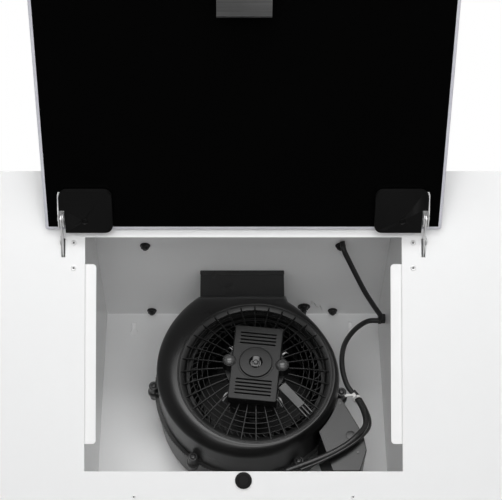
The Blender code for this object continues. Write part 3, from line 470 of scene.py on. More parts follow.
def surface(name, dark, light, roughness, patch=6.0, metallic=0.0, grain=None, bump=0.0,
            stretch=None, specular=0.5):
    """Principled surface: patchy colour and roughness, and a fine grain that also makes bump.

    patch and grain are cells per metre; bump is the grain's height in millimetres.
    """
    material, nodes, links = new_material(name)
    shader = nodes["Principled BSDF"]
    patches = noise_node(nodes, links, patch, 4.0)
    fine = noise_node(nodes, links, grain or 400.0, 2.0, stretch)
    mixed = nodes.new("ShaderNodeMix")
    mixed.inputs["Factor"].default_value = 0.55 if stretch else 0.35
    links.new(patches.outputs["Fac"], mixed.inputs["A"])
    links.new(fine.outputs["Fac"], mixed.inputs["B"])
    blended = mixed.outputs["Result"]
    links.new(tint_between(nodes, links, blended, dark, light), shader.inputs["Base Color"])
    links.new(ramp_between(nodes, links, blended, *roughness), shader.inputs["Roughness"])
    shader.inputs["Metallic"].default_value = metallic
    shader.inputs["Specular IOR Level"].default_value = specular
    if bump:
        height = nodes.new("ShaderNodeBump")
        height.inputs["Strength"].default_value = 0.6
        height.inputs["Distance"].default_value = bump * MM
        links.new(fine.outputs["Fac"], height.inputs["Height"])
        links.new(height.outputs["Normal"], shader.inputs["Normal"])
    return material


def grey(value, warm=0.0):
    return (value + warm, value, value - warm)


PAINT = surface("cabinet_powder_coat", grey(0.845, -0.002), grey(0.865, -0.002), (0.30, 0.40),
                patch=3.0, grain=750.0, bump=0.02)
# Same white coat as the outer panels, set lighter: the extra lightness is painted light inside the
# chamber.
INNER_PAINT_LIGHTENED = surface("inner_powder_coat_painted_light", grey(0.875, -0.002), grey(0.895, -0.002), (0.20, 0.27),
                      patch=4.0, grain=620.0, bump=0.012)
LIP_PAINT = surface("lip_powder_coat", grey(0.86), grey(0.88), (0.3, 0.38), patch=5.0,
                    grain=750.0, bump=0.015)
GLASS_PRINT = surface("black_printed_glass", grey(0.0012), grey(0.0016), (0.05, 0.09),
                      patch=9.0, grain=1500.0, bump=0.002, specular=0.12)
# Painted light: the pale lilac-grey stands in for the bright backdrop seen through the clear border
# and edges of the glass.
GLASS_EDGE_PAINTED_LIGHT = surface("polished_glass_edge_painted_light", (0.60, 0.60, 0.66), (0.72, 0.72, 0.77),
                     (0.06, 0.14), patch=30.0, grain=260.0, bump=0.01)
BRUSHED = surface("brushed_steel", grey(0.28), grey(0.62), (0.26, 0.42), patch=10.0,
                  metallic=1.0, grain=110.0, bump=0.02, stretch=(0.08, 22.0, 22.0))
ZINC = surface("zinc_steel", grey(0.66), grey(0.86), (0.24, 0.40), patch=180.0, metallic=0.9,
               grain=900.0, bump=0.01)
ARM_STEEL = surface("bright_hinge_steel", grey(0.78), grey(0.9), (0.28, 0.4), patch=120.0,
                    metallic=0.35, grain=900.0, bump=0.01)
MOTOR_STEEL = surface("motor_lamination_steel", grey(0.2), grey(0.44), (0.22, 0.4),
                      patch=60.0, metallic=1.0, grain=500.0, bump=0.06,
                      stretch=(0.02, 2.6, 0.02))
BLOWER = surface("blower_moulded_plastic", grey(0.004), grey(0.007), (0.26, 0.33), patch=22.0,
                 grain=1500.0, bump=0.012, specular=0.46)
GRILLE = surface("grille_moulded_plastic", grey(0.005), grey(0.008), (0.32, 0.42), patch=30.0,
                 grain=1700.0, bump=0.015, specular=0.32)
RIM_PLASTIC = surface("polished_inlet_rim", grey(0.012), grey(0.018), (0.20, 0.30), patch=40.0,
                      grain=1500.0, bump=0.01, specular=0.7)
WHEEL = surface("impeller_plastic", grey(0.003), grey(0.006), (0.40, 0.52), patch=40.0,
                grain=1300.0, bump=0.02, specular=0.3)
PLASTIC = surface("black_satin_plastic", grey(0.010), grey(0.016), (0.38, 0.5), patch=25.0,
                  grain=1900.0, bump=0.025)
PAD_PLASTIC = surface("pad_plastic", grey(0.003), grey(0.005), (0.5, 0.62), patch=25.0,
                      grain=2100.0, bump=0.03, specular=0.22)
CAP_PLASTIC = surface("cap_plastic", grey(0.055), grey(0.08), (0.16, 0.26), patch=60.0,
                      grain=1400.0, bump=0.01)
SHEATH = surface("cable_sheath", grey(0.014), grey(0.024), (0.26, 0.38), patch=70.0,
                 grain=800.0, bump=0.02)
NYLON = surface("white_nylon", grey(0.72, 0.01), grey(0.82, 0.01), (0.36, 0.5), patch=150.0,
                grain=1200.0, bump=0.01)
DARK_STEEL = surface("blackened_steel", grey(0.045), grey(0.12), (0.28, 0.42), patch=120.0,
                     metallic=0.85, grain=900.0, bump=0.01)
LEAD_PLASTIC = surface("lead_cover_plastic", grey(0.020), grey(0.032), (0.30, 0.42),
                       patch=60.0, grain=1500.0, bump=0.01)
CAPACITOR = surface("capacitor_case", grey(0.30), grey(0.36), (0.4, 0.5), patch=90.0,
                    grain=900.0, bump=0.01)
LENS = surface("frosted_lens", (0.86, 0.86, 0.82), (0.93, 0.93, 0.9), (0.3, 0.45), patch=60.0,
               grain=700.0, bump=0.03)
LENS_RING = surface("satin_lamp_ring", grey(0.5), grey(0.66), (0.22, 0.34), patch=60.0,
                    metallic=1.0, grain=500.0, bump=0.008)


# ---------------------------------------------------------------- sheet metal kept from CAD
KEPT_NODES = {
    PAINT: ("front_panel", "bottom_panel", "left_side_panel", "right_side_panel"),
    INNER_PAINT_LIGHTENED: ("back_panel", "top_panel"),
    ARM_STEEL: ("hinge_arm_left", "hinge_arm_right", "hinge_clevis_left",
                "hinge_clevis_right"),
    ZINC: ("hinge_pin_left", "hinge_pin_right", "damper_axle", "motor_shaft"),
}


def finish_kept_nodes():
    """Paint the CAD nodes that stay, and break their sheet edges."""
    for material, names in KEPT_NODES.items():
        for name in names:
            item = frame["nodes"][name]
            repaint(item, material)
            merge = item.modifiers.new("merge_corners", "WELD")
            merge.merge_threshold = 0.002 * MM
            bevel = item.modifiers.new("edge_round", "BEVEL")
            bevel.width = SHEET_EDGE_ROUND * MM
            bevel.segments = 2
            bevel.limit_method = "ANGLE"
            bevel.angle_limit = radians(SHEET_SHARP_ABOVE)
            even_shading(item)


def build_chamber_wall(side, sign):
    """Inner wall of the blower chamber, with a folded lip whose corners are rounded."""
    low, high = node_box(side + "_chamber_wall")
    wall_x = high.x if sign < 0 else low.x
    inner_x = low.x if sign < 0 else high.x
    outer = sign * max(abs(low.x), abs(high.x))
    inset = SHEET + GAP
    top = Z_TOP - inset
    bottom = Z_BOTTOM + inset
    front_top = -TOP_DEPTH + inset / cos(FACE_LEAN) + inset * tan(FACE_LEAN)
    front_bottom = front_top + (top - bottom) * tan(FACE_LEAN)
    outline = [Vector((outer, front_top, top)), Vector((outer, front_bottom, bottom)),
               Vector((outer, -inset, bottom)), Vector((outer, -inset, top))]
    wall = prism(side + "_wall_sheet", outline, Vector((-sign * SHEET, 0, 0)), INNER_PAINT_LIGHTENED)
    lip_x = sign * min(abs(wall_x), abs(inner_x))
    corner = 4.0
    points = [(outer - sign * SHEET / 2, LIP_TOP), (outer - sign * SHEET / 2, LIP_BOTTOM)]
    for centre_s, first in ((LIP_BOTTOM - corner, 0.0), (LIP_TOP + corner, pi / 2)):
        for step in range(7):
            turn = first + pi / 2 * step / 6
            points.append((lip_x + sign * corner * (1 - sin(turn)),
                           centre_s + corner * cos(turn)))
    lip = prism(side + "_lip", [on_face(x, s, -LIP_RECESS) for x, s in points],
                -FACE_OUT * SHEET, LIP_PAINT)
    soften(lip, 0.3, 2)
    soften(wall, 0.3, 2)
    whole = join(side + "_chamber_wall_sheet", [wall, lip])
    place(whole, "cabinet", "inner_white", side + "_chamber_wall")


def build_rivet(name, at, radius, nodes=()):
    """Pop rivet: low dome, the drawn stem's dimple in its middle, a shank behind. The dark steel
    disc at the dimple's foot is partly the stem's end and partly painted shade in the hole.
    """
    profile = [(0.6, radius * 0.1), (0.6, radius * 0.3), (-0.35, radius * 0.36),
               (-0.75, radius * 0.5), (-0.9, radius * 0.72), (-0.6, radius * 0.93),
               (-0.15, radius), (0.0, radius * 0.98), (0.0, radius * 0.5),
               (4.0, radius * 0.5), (5.6, radius * 0.75), (6.6, radius * 0.6)]
    head = turned("head", at, -FACE_OUT, profile, ARM_STEEL, 32)
    # Dark disc in the dimple: the stem's end, darkened further as painted shade in the hole.
    stem = rod("stem", at - FACE_OUT * 0.7, FACE_OUT, 0.6, radius * 0.32, DARK_STEEL, 16)
    place(join(name, [head, stem]), "cabinet", "cabinet_white", *nodes)


def build_rivets():
    for side, sign in SIDES:
        for level, slope in HINGE_RIVET_SLOPES.items():
            node = "rivet_" + level + "_" + side
            build_rivet("pop_" + node, on_face(sign * HINGE_RIVET_X, slope, GAP / 2), 3.2,
                        (node,))
        build_rivet("pop_rivet_foot_" + side,
                    on_face(sign * FOOT_RIVET_X, FOOT_RIVET_SLOPE, GAP / 2), 2.4)


def build_magnet():
    """Rubber-faced catch magnet with a rounded rim and a shallow ring in its face."""
    low, high, middle = node_span("magnet_catch")
    radius = (high.x - low.x) / 2
    base = middle - FACE_OUT * 1.35
    profile = [(0, radius - 0.6), (0.3, radius), (1.9, radius), (2.5, radius - 0.35),
               (2.75, radius - 1.1), (2.75, radius - 2.6), (2.4, radius - 2.9),
               (2.4, radius - 3.5), (2.7, radius - 3.8), (2.7, 0.4)]
    magnet = turned("magnet_disc", base, FACE_OUT, profile, PAD_PLASTIC, 72)
    place(magnet, "cabinet", "black_plastic", "magnet_catch")


# ---------------------------------------------------------------- door
def build_door():
    """Glass slab, black print inside a clear border, with ground and polished edges; the border and
    edges carry a pale tint that is painted light, standing in for the backdrop seen through the
    clear glass.
    """
    half = DOOR_HALF_WIDTH
    middle = DOOR_LENGTH / 2
    levels = []
    for m, inset in ((0.0, CLEAR_BORDER), (0.0, 0.9), (-0.25, 0.35), (-0.9, 0.0),
                     (-GLASS_THICKNESS + 0.9, 0.0), (-GLASS_THICKNESS + 0.25, 0.35),
                     (-GLASS_THICKNESS, 0.9), (-GLASS_THICKNESS, CLEAR_BORDER)):
        radius = max(2.0 - inset, 0.6)
        levels.append([on_door(x, t + middle, m) for x, t in
                       rounded_outline(half - inset, middle - inset, radius, 4)])
    pane = loft("door_pane", levels, [GLASS_EDGE_PAINTED_LIGHT, GLASS_PRINT], smooth_below=25)
    for face in pane.data.polygons:
        if abs(face.normal.dot(DOOR_INWARD)) > 0.99 and len(face.vertices) > 4:
            face.material_index = 1
    place(pane, "door", "black_glass", "door_glass")


def build_strike_bracket():
    """Folded steel strike that meets the magnet: feet on the glass, a bridge between them."""
    start, length, height, thick = 262.0, 95.0, 26.0, 1.2
    half = 28.5
    foot = 14.0
    bend = 2.4
    path = [(length - foot, GAP), (length - bend, GAP)]
    for t, m, first in ((length - bend, GAP + bend, -1), (length - bend, height - bend, 0),
                        (bend, height - bend, 1), (bend, GAP + bend, 2)):
        path += quarter(t, m, bend, first, 4)
    path.append((foot, GAP))
    inner = []
    for i, (t, m) in enumerate(path):
        before = Vector(path[max(i - 1, 0)])
        after = Vector(path[min(i + 1, len(path) - 1)])
        run = (after - before).normalized()
        inner.append((t - run.y * thick, m + run.x * thick))
    outline = [on_door(-half, start + t, m) for t, m in path + inner[::-1]]
    strike = prism("strike_plate", outline, Vector((2 * half, 0, 0)), BRUSHED)
    holes = [rod("cut_strike_hole", on_door(x, start + t, -3), DOOR_INWARD, 8, 2.2)
             for x in (-14.0, 14.0) for t in (5.5, length - 5.5)]
    cut(strike, *holes)
    soften(strike, 0.25, 2)
    place(strike, "door", "brushed_steel", "strike_bracket")


def build_hinge_pad(side, sign):
    """Moulded cover over the hinge plate: rounded corners, arm notch, a screw dimple."""
    inner, outer, notch = 147.0, 206.2, 200.2
    low, high, notch_top = 0.5, 53.0, 29.0
    radius = 9.0
    corner = []
    for x, t, first in ((outer - radius, high - radius, 0), (inner + radius, high - radius, 1),
                        (inner + radius, low + radius, 2)):
        corner += quarter(x, t, radius, first, 8)
    corner += [(notch, low), (notch, notch_top), (outer, notch_top)]
    outline = [on_door(sign * x, t, 1.8) for x, t in corner]
    pad = prism("pad_block_" + side, outline, DOOR_INWARD * 7.2, PAD_PLASTIC)
    cut(pad, turned("cut_dimple", on_door(sign * PAD_SCREW_X, PAD_SCREW_T, 12), -DOOR_INWARD,
                    [(0, 4.0), (3.0, 4.0), (3.9, 3.2), (3.9, 0.4)], PAD_PLASTIC, 32))
    soften(pad, 1.1, 3)
    screw = turned("pad_screw_" + side, on_door(sign * PAD_SCREW_X, PAD_SCREW_T, 8.6), -DOOR_INWARD,
                   [(0.9, 0.3), (0.9, 1.0), (0.1, 1.1), (0.0, 2.2), (0.4, 2.7), (1.4, 2.7)],
                   PAD_PLASTIC, 24)
    whole = join("hinge_cover_" + side, [pad, screw])
    place(whole, "door", "black_plastic", "hinge_pad_" + side)


def build_hinge_hook(side, sign):
    """Wire hook of the lifting spring, standing out of the front sheet beside the arm."""
    hook_x = sign * HINGE_ARM_X + sign * 2.6
    bends = ((74.5, -8), (75.0, 1.2), (79.5, 3.2), (84.0, 0.6), (84.6, -8))
    knots = [on_face(hook_x, slope, out) for slope, out in bends]
    hook = tube("hinge_hook_" + side, smooth_path(knots, 6), 0.9, ZINC, 12)
    place(hook, "cabinet", "zinc_steel")


# ---------------------------------------------------------------- duct collar and dampers
def build_collar():
    """Base plate with a ribbed round spigot, rolled rim and stop ledge."""
    centre = Vector((0, FLAP_LINE.y, COLLAR_LOW.z))
    half_x = COLLAR_HIGH.x
    half_y = (COLLAR_HIGH.y - COLLAR_LOW.y) / 2
    mid_y = (COLLAR_HIGH.y + COLLAR_LOW.y) / 2
    height = COLLAR_HIGH.z - COLLAR_LOW.z
    outline = [Vector((x, mid_y + y, COLLAR_LOW.z)) for x, y in
               rounded_outline(half_x, half_y, 6)]
    plate = prism("collar_plate", outline, UP * 2.0, PLASTIC)
    screws = [rod("cut_screw", (x, y, COLLAR_LOW.z - 3), UP, 10, 2.4)
              for x in (-COLLAR_SCREW_X, COLLAR_SCREW_X) for y in COLLAR_SCREW_YS.values()]
    cut(plate, rod("cut_bore", centre - UP * 5, UP, 20, COLLAR_BORE_R,
                  segments=128),
        *screws)
    soften(plate, 0.5, 2)
    profile = [(0.5, COLLAR_BORE_R), (0.5, 75.0), (2.0, 77.5), (3.4, 75.4), (height * 0.62, 75.0),
               (height * 0.64, 75.9), (height * 0.69, 75.9), (height * 0.71, 75.0),
               (height - 2.2, 74.6), (height - 0.9, 74.9), (height, 74.3),
               (height, 73.7), (height - 0.9, COLLAR_BORE_R)]
    spigot = turned("collar_spigot", centre, UP, profile, PLASTIC, 128, closed=True)
    ribs = []
    for i in range(12):
        turn = radians(30 * i + 15)
        out = Vector((cos(turn), sin(turn), 0))
        across = Vector((-sin(turn), cos(turn), 0)) * 0.9
        foot = centre + out * 74.6 + UP * 1.6
        web = [foot - across, foot + out * 9 - across, foot + UP * 12 - across]
        ribs.append(prism("collar_rib", web, across * 2, PLASTIC))
    bosses = [rod("axle_boss", centre + Vector((0, sign * 75.2, FLAP_LINE.z - centre.z)),
                  (0, sign, 0), 2.6, 4.2, PLASTIC, 32) for sign in (-1, 1)]
    place(join("collar_moulding", [plate, spigot, *ribs, *bosses]), "cabinet",
          "black_plastic", "outlet_collar")


def build_flap(side, sign):
    """Half-round damper flap with stiffening ribs and two knuckles."""
    centre = Vector((0, FLAP_LINE.y, FLAP_LINE.z))
    radius, root = 72.6, 4.0
    outline = []
    for step in range(41):
        turn = radians(-86 + 172 * step / 40)
        outline.append(centre + Vector((sign * max(radius * cos(turn), root),
                                        radius * sin(turn), -0.6)))
    plate = prism("flap_plate", outline, UP * 1.2, PLASTIC)
    soften(plate, 0.3, 2)
    ribs = []
    for reach in (-52.0, -26.0, 0.0, 26.0, 52.0):
        length = (radius ** 2 - reach ** 2) ** 0.5 - 6
        x_range = sorted((sign * (root + 1), sign * length))
        y = centre.y + reach
        ribs.append(soften(box("flap_rib", x_range, (y - 0.6, y + 0.6),
                               (centre.z + 0.4, centre.z + 2.0), PLASTIC), 0.2, 1))
    knuckles = []
    for offset in (-50, 30):
        y = centre.y - sign * offset
        barrel = turned("flap_knuckle", (0, y - 6, centre.z), BACK,
                        [(0, 2.9), (0.5, 3.4), (11.5, 3.4), (12, 2.9), (12, 1.8), (0, 1.8)],
                        PLASTIC, 32, closed=True)
        x_range = sorted((sign * 2.6, sign * (root + 3)))
        knuckles += [barrel, box("flap_tab", x_range, (y - 6, y + 6),
                                 (centre.z - 0.6, centre.z + 0.9), PLASTIC)]
    node = "damper_flap_" + side
    place(join("ribbed_flap_" + side, [plate, *ribs, *knuckles]), "flap_" + side,
          "black_plastic", node)


def hex_ring(centre, axis, across, turn_degrees):
    reach = across / 2 / cos(pi / 6)
    return circle(centre, *axis_frame(axis), reach, 6, radians(turn_degrees))


def flanged_nut(name, seat, axis, across, flange, height, material, body, slot, nodes=(),
                turn=0.0):
    """Flanged hex nut on a threaded stub, standing off its seat along the axis."""
    axis = Vector(axis).normalized()
    washer = turned(name + "_washer", seat, axis,
                    [(0, flange * 0.96), (0.25, flange), (0.8, flange), (1.5, flange * 0.8),
                     (1.5, flange * 0.3)], material, 40)
    flats = loft(name + "_hex", [hex_ring(seat + axis * 1.2, axis, across, turn),
                                 hex_ring(seat + axis * height, axis, across, turn)], material)
    soften(flats, 0.6, 2)
    stub_r = across * 0.27
    stub = [(height - 1, stub_r)]
    thread = height - 0.2
    for _turn in range(4):
        stub += [(thread, stub_r), (thread + 0.3, stub_r - 0.35), (thread + 0.6, stub_r)]
        thread += 0.6
    stub += [(thread + 0.2, stub_r - 0.6)]
    stem = turned(name + "_stem", seat, axis, stub, material, 24)
    place(join(name, [washer, flats, stem]), body, slot, *nodes)


def build_collar_screws():
    under = Z_TOP - SHEET
    for side, sign in SIDES:
        for row, y in COLLAR_SCREW_YS.items():
            node = "collar_screw_" + row + "_" + side
            x = sign * COLLAR_SCREW_X
            flanged_nut("nut_" + node, Vector((x, y, under)), -UP, 9.6, 6.4, 4.4, PLASTIC,
                        "cabinet", "black_plastic", (node,), turn=20 * sign)
            head = turned("head_" + node, (x, y, COLLAR_LOW.z + 2.0), UP,
                          [(0, 4.6), (0.5, 4.8), (1.6, 4.2), (2.1, 3.0), (2.1, 1.4),
                           (1.2, 1.1), (1.2, 0.2)], PLASTIC, 32)
            place(head, "cabinet", "black_plastic")


def build_roof_fixings():
    """Under the top panel: a hanging blower fixing and a bent wire clip for the leads."""
    under = Z_TOP - SHEET
    at = Vector((82.0, -20.0, under))
    flanged_nut("blower_hanger_nut", at, -UP, 10.5, 8.4, 4.6, PLASTIC, "cabinet",
                "black_plastic", turn=12)
    stem = turned("hanger_stem", at - UP * 6, -UP,
                  [(0, 3.4), (2.0, 3.6), (2.6, 2.6), (9, 2.4), (9.4, 3.3), (12.5, 3.3),
                   (13, 2.4), (17, 2.2)], PLASTIC, 32)
    place(stem, "cabinet", "black_plastic")
    clip = [(90, -34, under - 8), (91, -34, under - 1.0), (95, -31, under - 0.9),
            (99, -27, under - 4.5), (103, -25, under - 0.9), (106, -25, under - 9)]
    place(tube("lead_clip", smooth_path(clip, 8), 0.55, ZINC, 12), "cabinet", "zinc_steel")


# ---------------------------------------------------------------- blower housing
def scroll_radius(angle):
    """Outer radius of the scroll at an angle, in degrees counter-clockwise from +X."""
    angle = angle % 360
    if TONGUE_ANGLE < angle < THROAT_ANGLE:
        return THROAT_HEIGHT / sin(radians(angle))
    clockwise = (TONGUE_ANGLE - angle) % 360
    spiral = SPIRAL_BASE_R * exp(SPIRAL_GROWTH * clockwise)
    flare = TONGUE_FLARE * max(0.0, 1 - clockwise / TONGUE_FLARE_SPAN) ** 2
    return max(SCROLL_MIN_R, spiral) + flare + SCROLL_SHIFT * cos(radians(angle))


def scroll_loop(y, grow=0.0, shrink_to=None, blend=1.0):
    """The scroll's outline at depth y, grown by a width or drawn in towards a radius."""
    points = []
    for i in range(STATIONS):
        angle = 360 * i / STATIONS + THROAT_ANGLE
        radius = scroll_radius(angle) + grow
        if shrink_to is not None:
            radius = shrink_to + (radius - shrink_to) * blend
        points.append(beside_fan(angle, radius, y))
    return points


def scroll_body(name, front_y, rear_y, grow, front_round, rear_round, material=None):
    """Solid scroll with its front edge, and its rear edge, rounded by quarter ellipses."""
    steps = 12
    loops = []
    for i in range(steps if front_round else 0):
        turn = pi / 2 * i / steps
        y = front_y + front_round * (1 - cos(turn))
        loops.append(scroll_loop(y, grow, SHOULDER_START_R + grow, sin(turn)))
    loops.append(scroll_loop(front_y + front_round, grow))
    loops.append(scroll_loop(rear_y - rear_round, grow))
    for i in range(1, 6 if rear_round else 0):
        turn = pi / 2 * i / 5
        loops.append(scroll_loop(rear_y - rear_round * (1 - sin(turn)),
                                 grow - rear_round * (1 - cos(turn))))
    return loft(name, loops, material)


def duct_box(name, y_range, inset, z_range):
    return box(name, (DUCT_X[0] + inset, DUCT_X[1] - inset), y_range, z_range)


def lug_centre(angle, y):
    return beside_fan(angle, scroll_radius(angle) + LUG_OUTSET, y)


def lug_web(name, angle, y_range):
    """Rib that ties a screw lug to the scroll's side."""
    across = fan_spoke(angle)[1]
    root = beside_fan(angle, scroll_radius(angle) - 2, y_range[0])
    tip = lug_centre(angle, y_range[0])
    outline = [root - across * 8.5, tip - across * 4.2, tip + across * 4.2, root + across * 8.5]
    return prism(name, outline, BACK * (y_range[1] - y_range[0]))


def build_scroll_half(name, is_front):
    """Half of the housing, with its half of the outlet duct and its side of each lug."""
    duct_top = Z_TOP - SHEET - GAP
    duct_foot = FAN.z + 60
    round_depth = SHOULDER_Y - FAN_FRONT_Y
    if is_front:
        split = SPLIT_Y - GAP
        body = scroll_body(name, FAN_FRONT_Y, split, 0, round_depth, 0, BLOWER)
        hollow = scroll_body("hollow", FAN_FRONT_Y + SCROLL_WALL, split + 5, -SCROLL_WALL,
                             round_depth, 0)
        duct_range = (DUCT_FRONT_Y, split)
        duct_hollow_range = (DUCT_FRONT_Y + SCROLL_WALL, split + 5)
        flange_range = (split - FLANGE_DEPTH, split)
        lug_range = (split - 16, split)
        web_range = (split - 10, split)
    else:
        split = SPLIT_Y + GAP
        body = scroll_body(name, split, SCROLL_REAR_Y, 0, 0, 6.0, BLOWER)
        hollow = scroll_body("hollow", split - 5, SCROLL_REAR_Y - SCROLL_WALL, -SCROLL_WALL,
                             0, 5.0)
        duct_range = (split, DUCT_REAR_Y)
        duct_hollow_range = (split - 5, DUCT_REAR_Y - SCROLL_WALL)
        flange_range = (split, split + FLANGE_DEPTH)
        lug_range = (split, split + 12)
        web_range = (split, split + 8)
    duct = duct_box("duct", duct_range, 0, (duct_foot, duct_top))
    duct_hollow = duct_box("duct_hollow", duct_hollow_range, SCROLL_WALL,
                           (duct_foot + 15, duct_top + 5))
    flange = loft("flange", [scroll_loop(y, FLANGE_WIDTH) for y in flange_range], None)
    weld(body, duct, flange)
    for angle in LUG_ANGLES.values():
        lug = rod("lug", lug_centre(angle, lug_range[0]), BACK, lug_range[1] - lug_range[0],
                  LUG_R, segments=32)
        weld(body, lug, lug_web("lug_web", angle, web_range))
    if not is_front:
        for angle in FOOT_ANGLES:
            weld(body, rod("foot", beside_fan(angle, 80, SCROLL_REAR_Y - 1), BACK,
                           -SCROLL_REAR_Y + 1 - SHEET - GAP, 7, segments=24))
    cut(body, hollow, duct_hollow)
    if is_front:
        cut(body, rod("inlet", (FAN.x, FAN_FRONT_Y - 5, FAN.z), BACK, 20, INLET_R,
                      segments=STATIONS))
    for angle in LUG_ANGLES.values():
        cut(body, rod("lug_hole", lug_centre(angle, SPLIT_Y - 30), BACK, 60, 2.0,
                      segments=20))
    refinish(body, BLOWER, 24)
    return body


def build_inlet_bead():
    """Rolled rim round the inlet, and the fine groove outside it."""
    centre = (FAN.x, FAN_FRONT_Y, FAN.z)
    profile = [(0.9, 91.9)]
    for step in range(13):
        turn = pi * step / 12
        profile.append((0.35 - 0.95 * sin(turn), 93.0 - 1.0 * cos(turn)))
    profile += [(1.2, 94.4), (1.9, 94.2), (1.9, 92.4)]
    return turned("inlet_bead", centre, BACK, profile, BLOWER, 160, closed=True)


def build_duct_trim():
    """The lip near the duct's top and the fine seam where its front meets the scroll."""
    lip_z = Z_TOP - 7.5
    front = DUCT_FRONT_Y
    lip = box("duct_lip", (DUCT_X[0] - 0.5, DUCT_X[1] + 0.5), (front - 0.8, front + 0.3),
              (lip_z, lip_z + 5.2), BLOWER)
    soften(lip, 0.5, 3)
    points = []
    for step in range(25):
        share = step / 24
        x = DUCT_X[0] + (DUCT_X[1] - DUCT_X[0]) * share
        across = (x - FAN.x)
        height = FAN.z + 103.5 - 0.0012 * across ** 2 + 1.8 * share
        points.append(Vector((x, front - 0.35, height)))
    seam = tube("duct_seam", points, 0.55, CAP_PLASTIC, 10)
    return [lip, seam]


def build_flange_ribs():
    """Closely spaced teeth round the joint flange, which grip the two halves together."""
    bm = bmesh.new()
    for i in range(FLANGE_TEETH):
        angle = 130 + 265 * i / FLANGE_TEETH
        radius = scroll_radius(angle) + FLANGE_WIDTH
        low = beside_fan(angle - 0.45, radius - 0.3, SPLIT_Y - 3.4)
        high = beside_fan(angle + 0.45, radius - 0.3, SPLIT_Y - 3.4)
        outward = fan_spoke(angle)[0]
        push = BACK * 5.4
        corners = [low, high, high + outward, low + outward]
        near = [bm.verts.new(p) for p in corners]
        far = [bm.verts.new(p + push) for p in corners]
        bm.faces.new(near)
        bm.faces.new(far[::-1])
        for a in range(4):
            b = (a + 1) % 4
            bm.faces.new((near[a], near[b], far[b], far[a]))
    return add_mesh("flange_teeth", bm, BLOWER)


def build_scroll():
    front = build_scroll_half("front_shell", True)
    rear = build_scroll_half("rear_shell", False)
    moulding = join("blower_front_moulding",
                    [front, build_inlet_bead(), *build_duct_trim(), build_flange_ribs()])
    place(moulding, "cabinet", "blower_plastic", "scroll_front_half")
    place(join("blower_rear_moulding", [rear]), "cabinet", "blower_plastic",
          "scroll_rear_half")


def build_lug_screws():
    """Cross-recess screws with a pressed washer, standing in each lug, over a rubber bush."""
    front = SPLIT_Y - GAP - 16
    for where, angle in LUG_ANGLES.items():
        seat = lug_centre(angle, front)
        washer = turned("washer", seat, -BACK, [(-0.1, 2.2), (-0.1, 5.2), (0.6, 5.4),
                                                     (0.9, 5.0), (0.9, 2.2)],
                        DARK_STEEL, 40, closed=True)
        head = turned("head", seat, -BACK, [(0.8, 1.2), (0.8, 4.0), (1.8, 3.9),
                                                 (2.7, 3.2), (3.2, 2.2), (3.2, 0.4)],
                      DARK_STEEL, 40)
        recess = [box("cut_cross", (seat.x - a, seat.x + a), (seat.y - 5, seat.y - 1.9),
                      (seat.z - b, seat.z + b)) for a, b in ((2.0, 0.45), (0.45, 2.0))]
        cut(head, *recess)
        soften(head, 0.12, 1)
        shank = rod("shank", seat, BACK, 27, 1.6, DARK_STEEL, 20)
        collar = turned("bush", seat + BACK * 16.2, BACK,
                        [(-3, 6.0), (-3, 7.4), (-1.6, 7.9), (1.6, 7.9), (3, 7.4), (3, 6.0)],
                        SHEATH, 40, closed=True)
        place(join("fixing_" + where, [washer, head, shank, collar]), "cabinet",
              "motor_steel", "lug_screw_" + where)


# ---------------------------------------------------------------- grille
def guard_front(radius):
    """Depth of the domed guard's front at a radius: highest at the hub, low at the rim."""
    share = max(0.0, (radius - GUARD_HUB_R) / (GUARD_RIM_R - GUARD_HUB_R))
    return GRILLE_LOW.y - GUARD_DOME * (1 - share ** 2.2)


def about_fan(name, profile, material, segments, start_y=0.0):
    """Ring about the fan's axis; the profile's distances are depths from start_y."""
    return turned(name, FAN_AXIS + BACK * start_y, BACK, profile, material, segments,
                  closed=True)


def build_grille():
    """Domed guard of thin radial spokes tied by fine rings, with a rim and a hub ring."""
    parts = []
    foot_r = GUARD_RIM_R - 2
    for i in range(GRILLE_SPOKES):
        turn = 360 * i / GRILLE_SPOKES
        across = fan_spoke(turn)[1]
        loops = []
        for step in range(11):
            share = step / 10
            radius = GUARD_HUB_R + (foot_r - GUARD_HUB_R) * share
            half = 0.62 + 0.25 * share
            centre = beside_fan(turn, radius, guard_front(radius) + 0.25 + 1.2 * share)
            shoulder = BACK * 0.5
            deep = BACK * 2.4
            loops.append([centre - across * half * 0.55, centre + across * half * 0.55,
                          centre + across * half + shoulder, centre + across * half + deep,
                          centre - across * half + deep, centre - across * half + shoulder])
        parts.append(loft("spoke", loops, GRILLE, smooth_below=50))
    for radius, half in ((57.5, 0.28), (64.0, 0.28), (70.0, 0.5), (76.0, 0.28), (82.0, 0.28)):
        y = guard_front(radius) + 1.8
        profile = [(0, radius - half * 0.6), (0, radius + half * 0.6), (0.4, radius + half),
                   (1.6, radius + half), (1.6, radius - half), (0.4, radius - half)]
        parts.append(about_fan("guard_ring", profile, GRILLE, 128, y))
    hub = [(0.2, GUARD_HUB_R - 2), (0.2, 36.0), (0.8, 36.8), (3.2, 37.0),
           (3.2, GUARD_HUB_R - 2)]
    parts.append(about_fan("guard_hub", hub, GRILLE, 96, guard_front(0) - 0.2))
    rim = [(2.6, 85.4), (1.7, 87.2), (1.0, 89.4), (0.5, 91.4), (0.7, 92.1), (3.4, 92.1),
           (3.4, 86.4)]
    parts.append(about_fan("guard_rim", rim, GRILLE, 144, GRILLE_LOW.y))
    place(join("inlet_guard", parts), "cabinet", "blower_plastic", "inlet_grille")


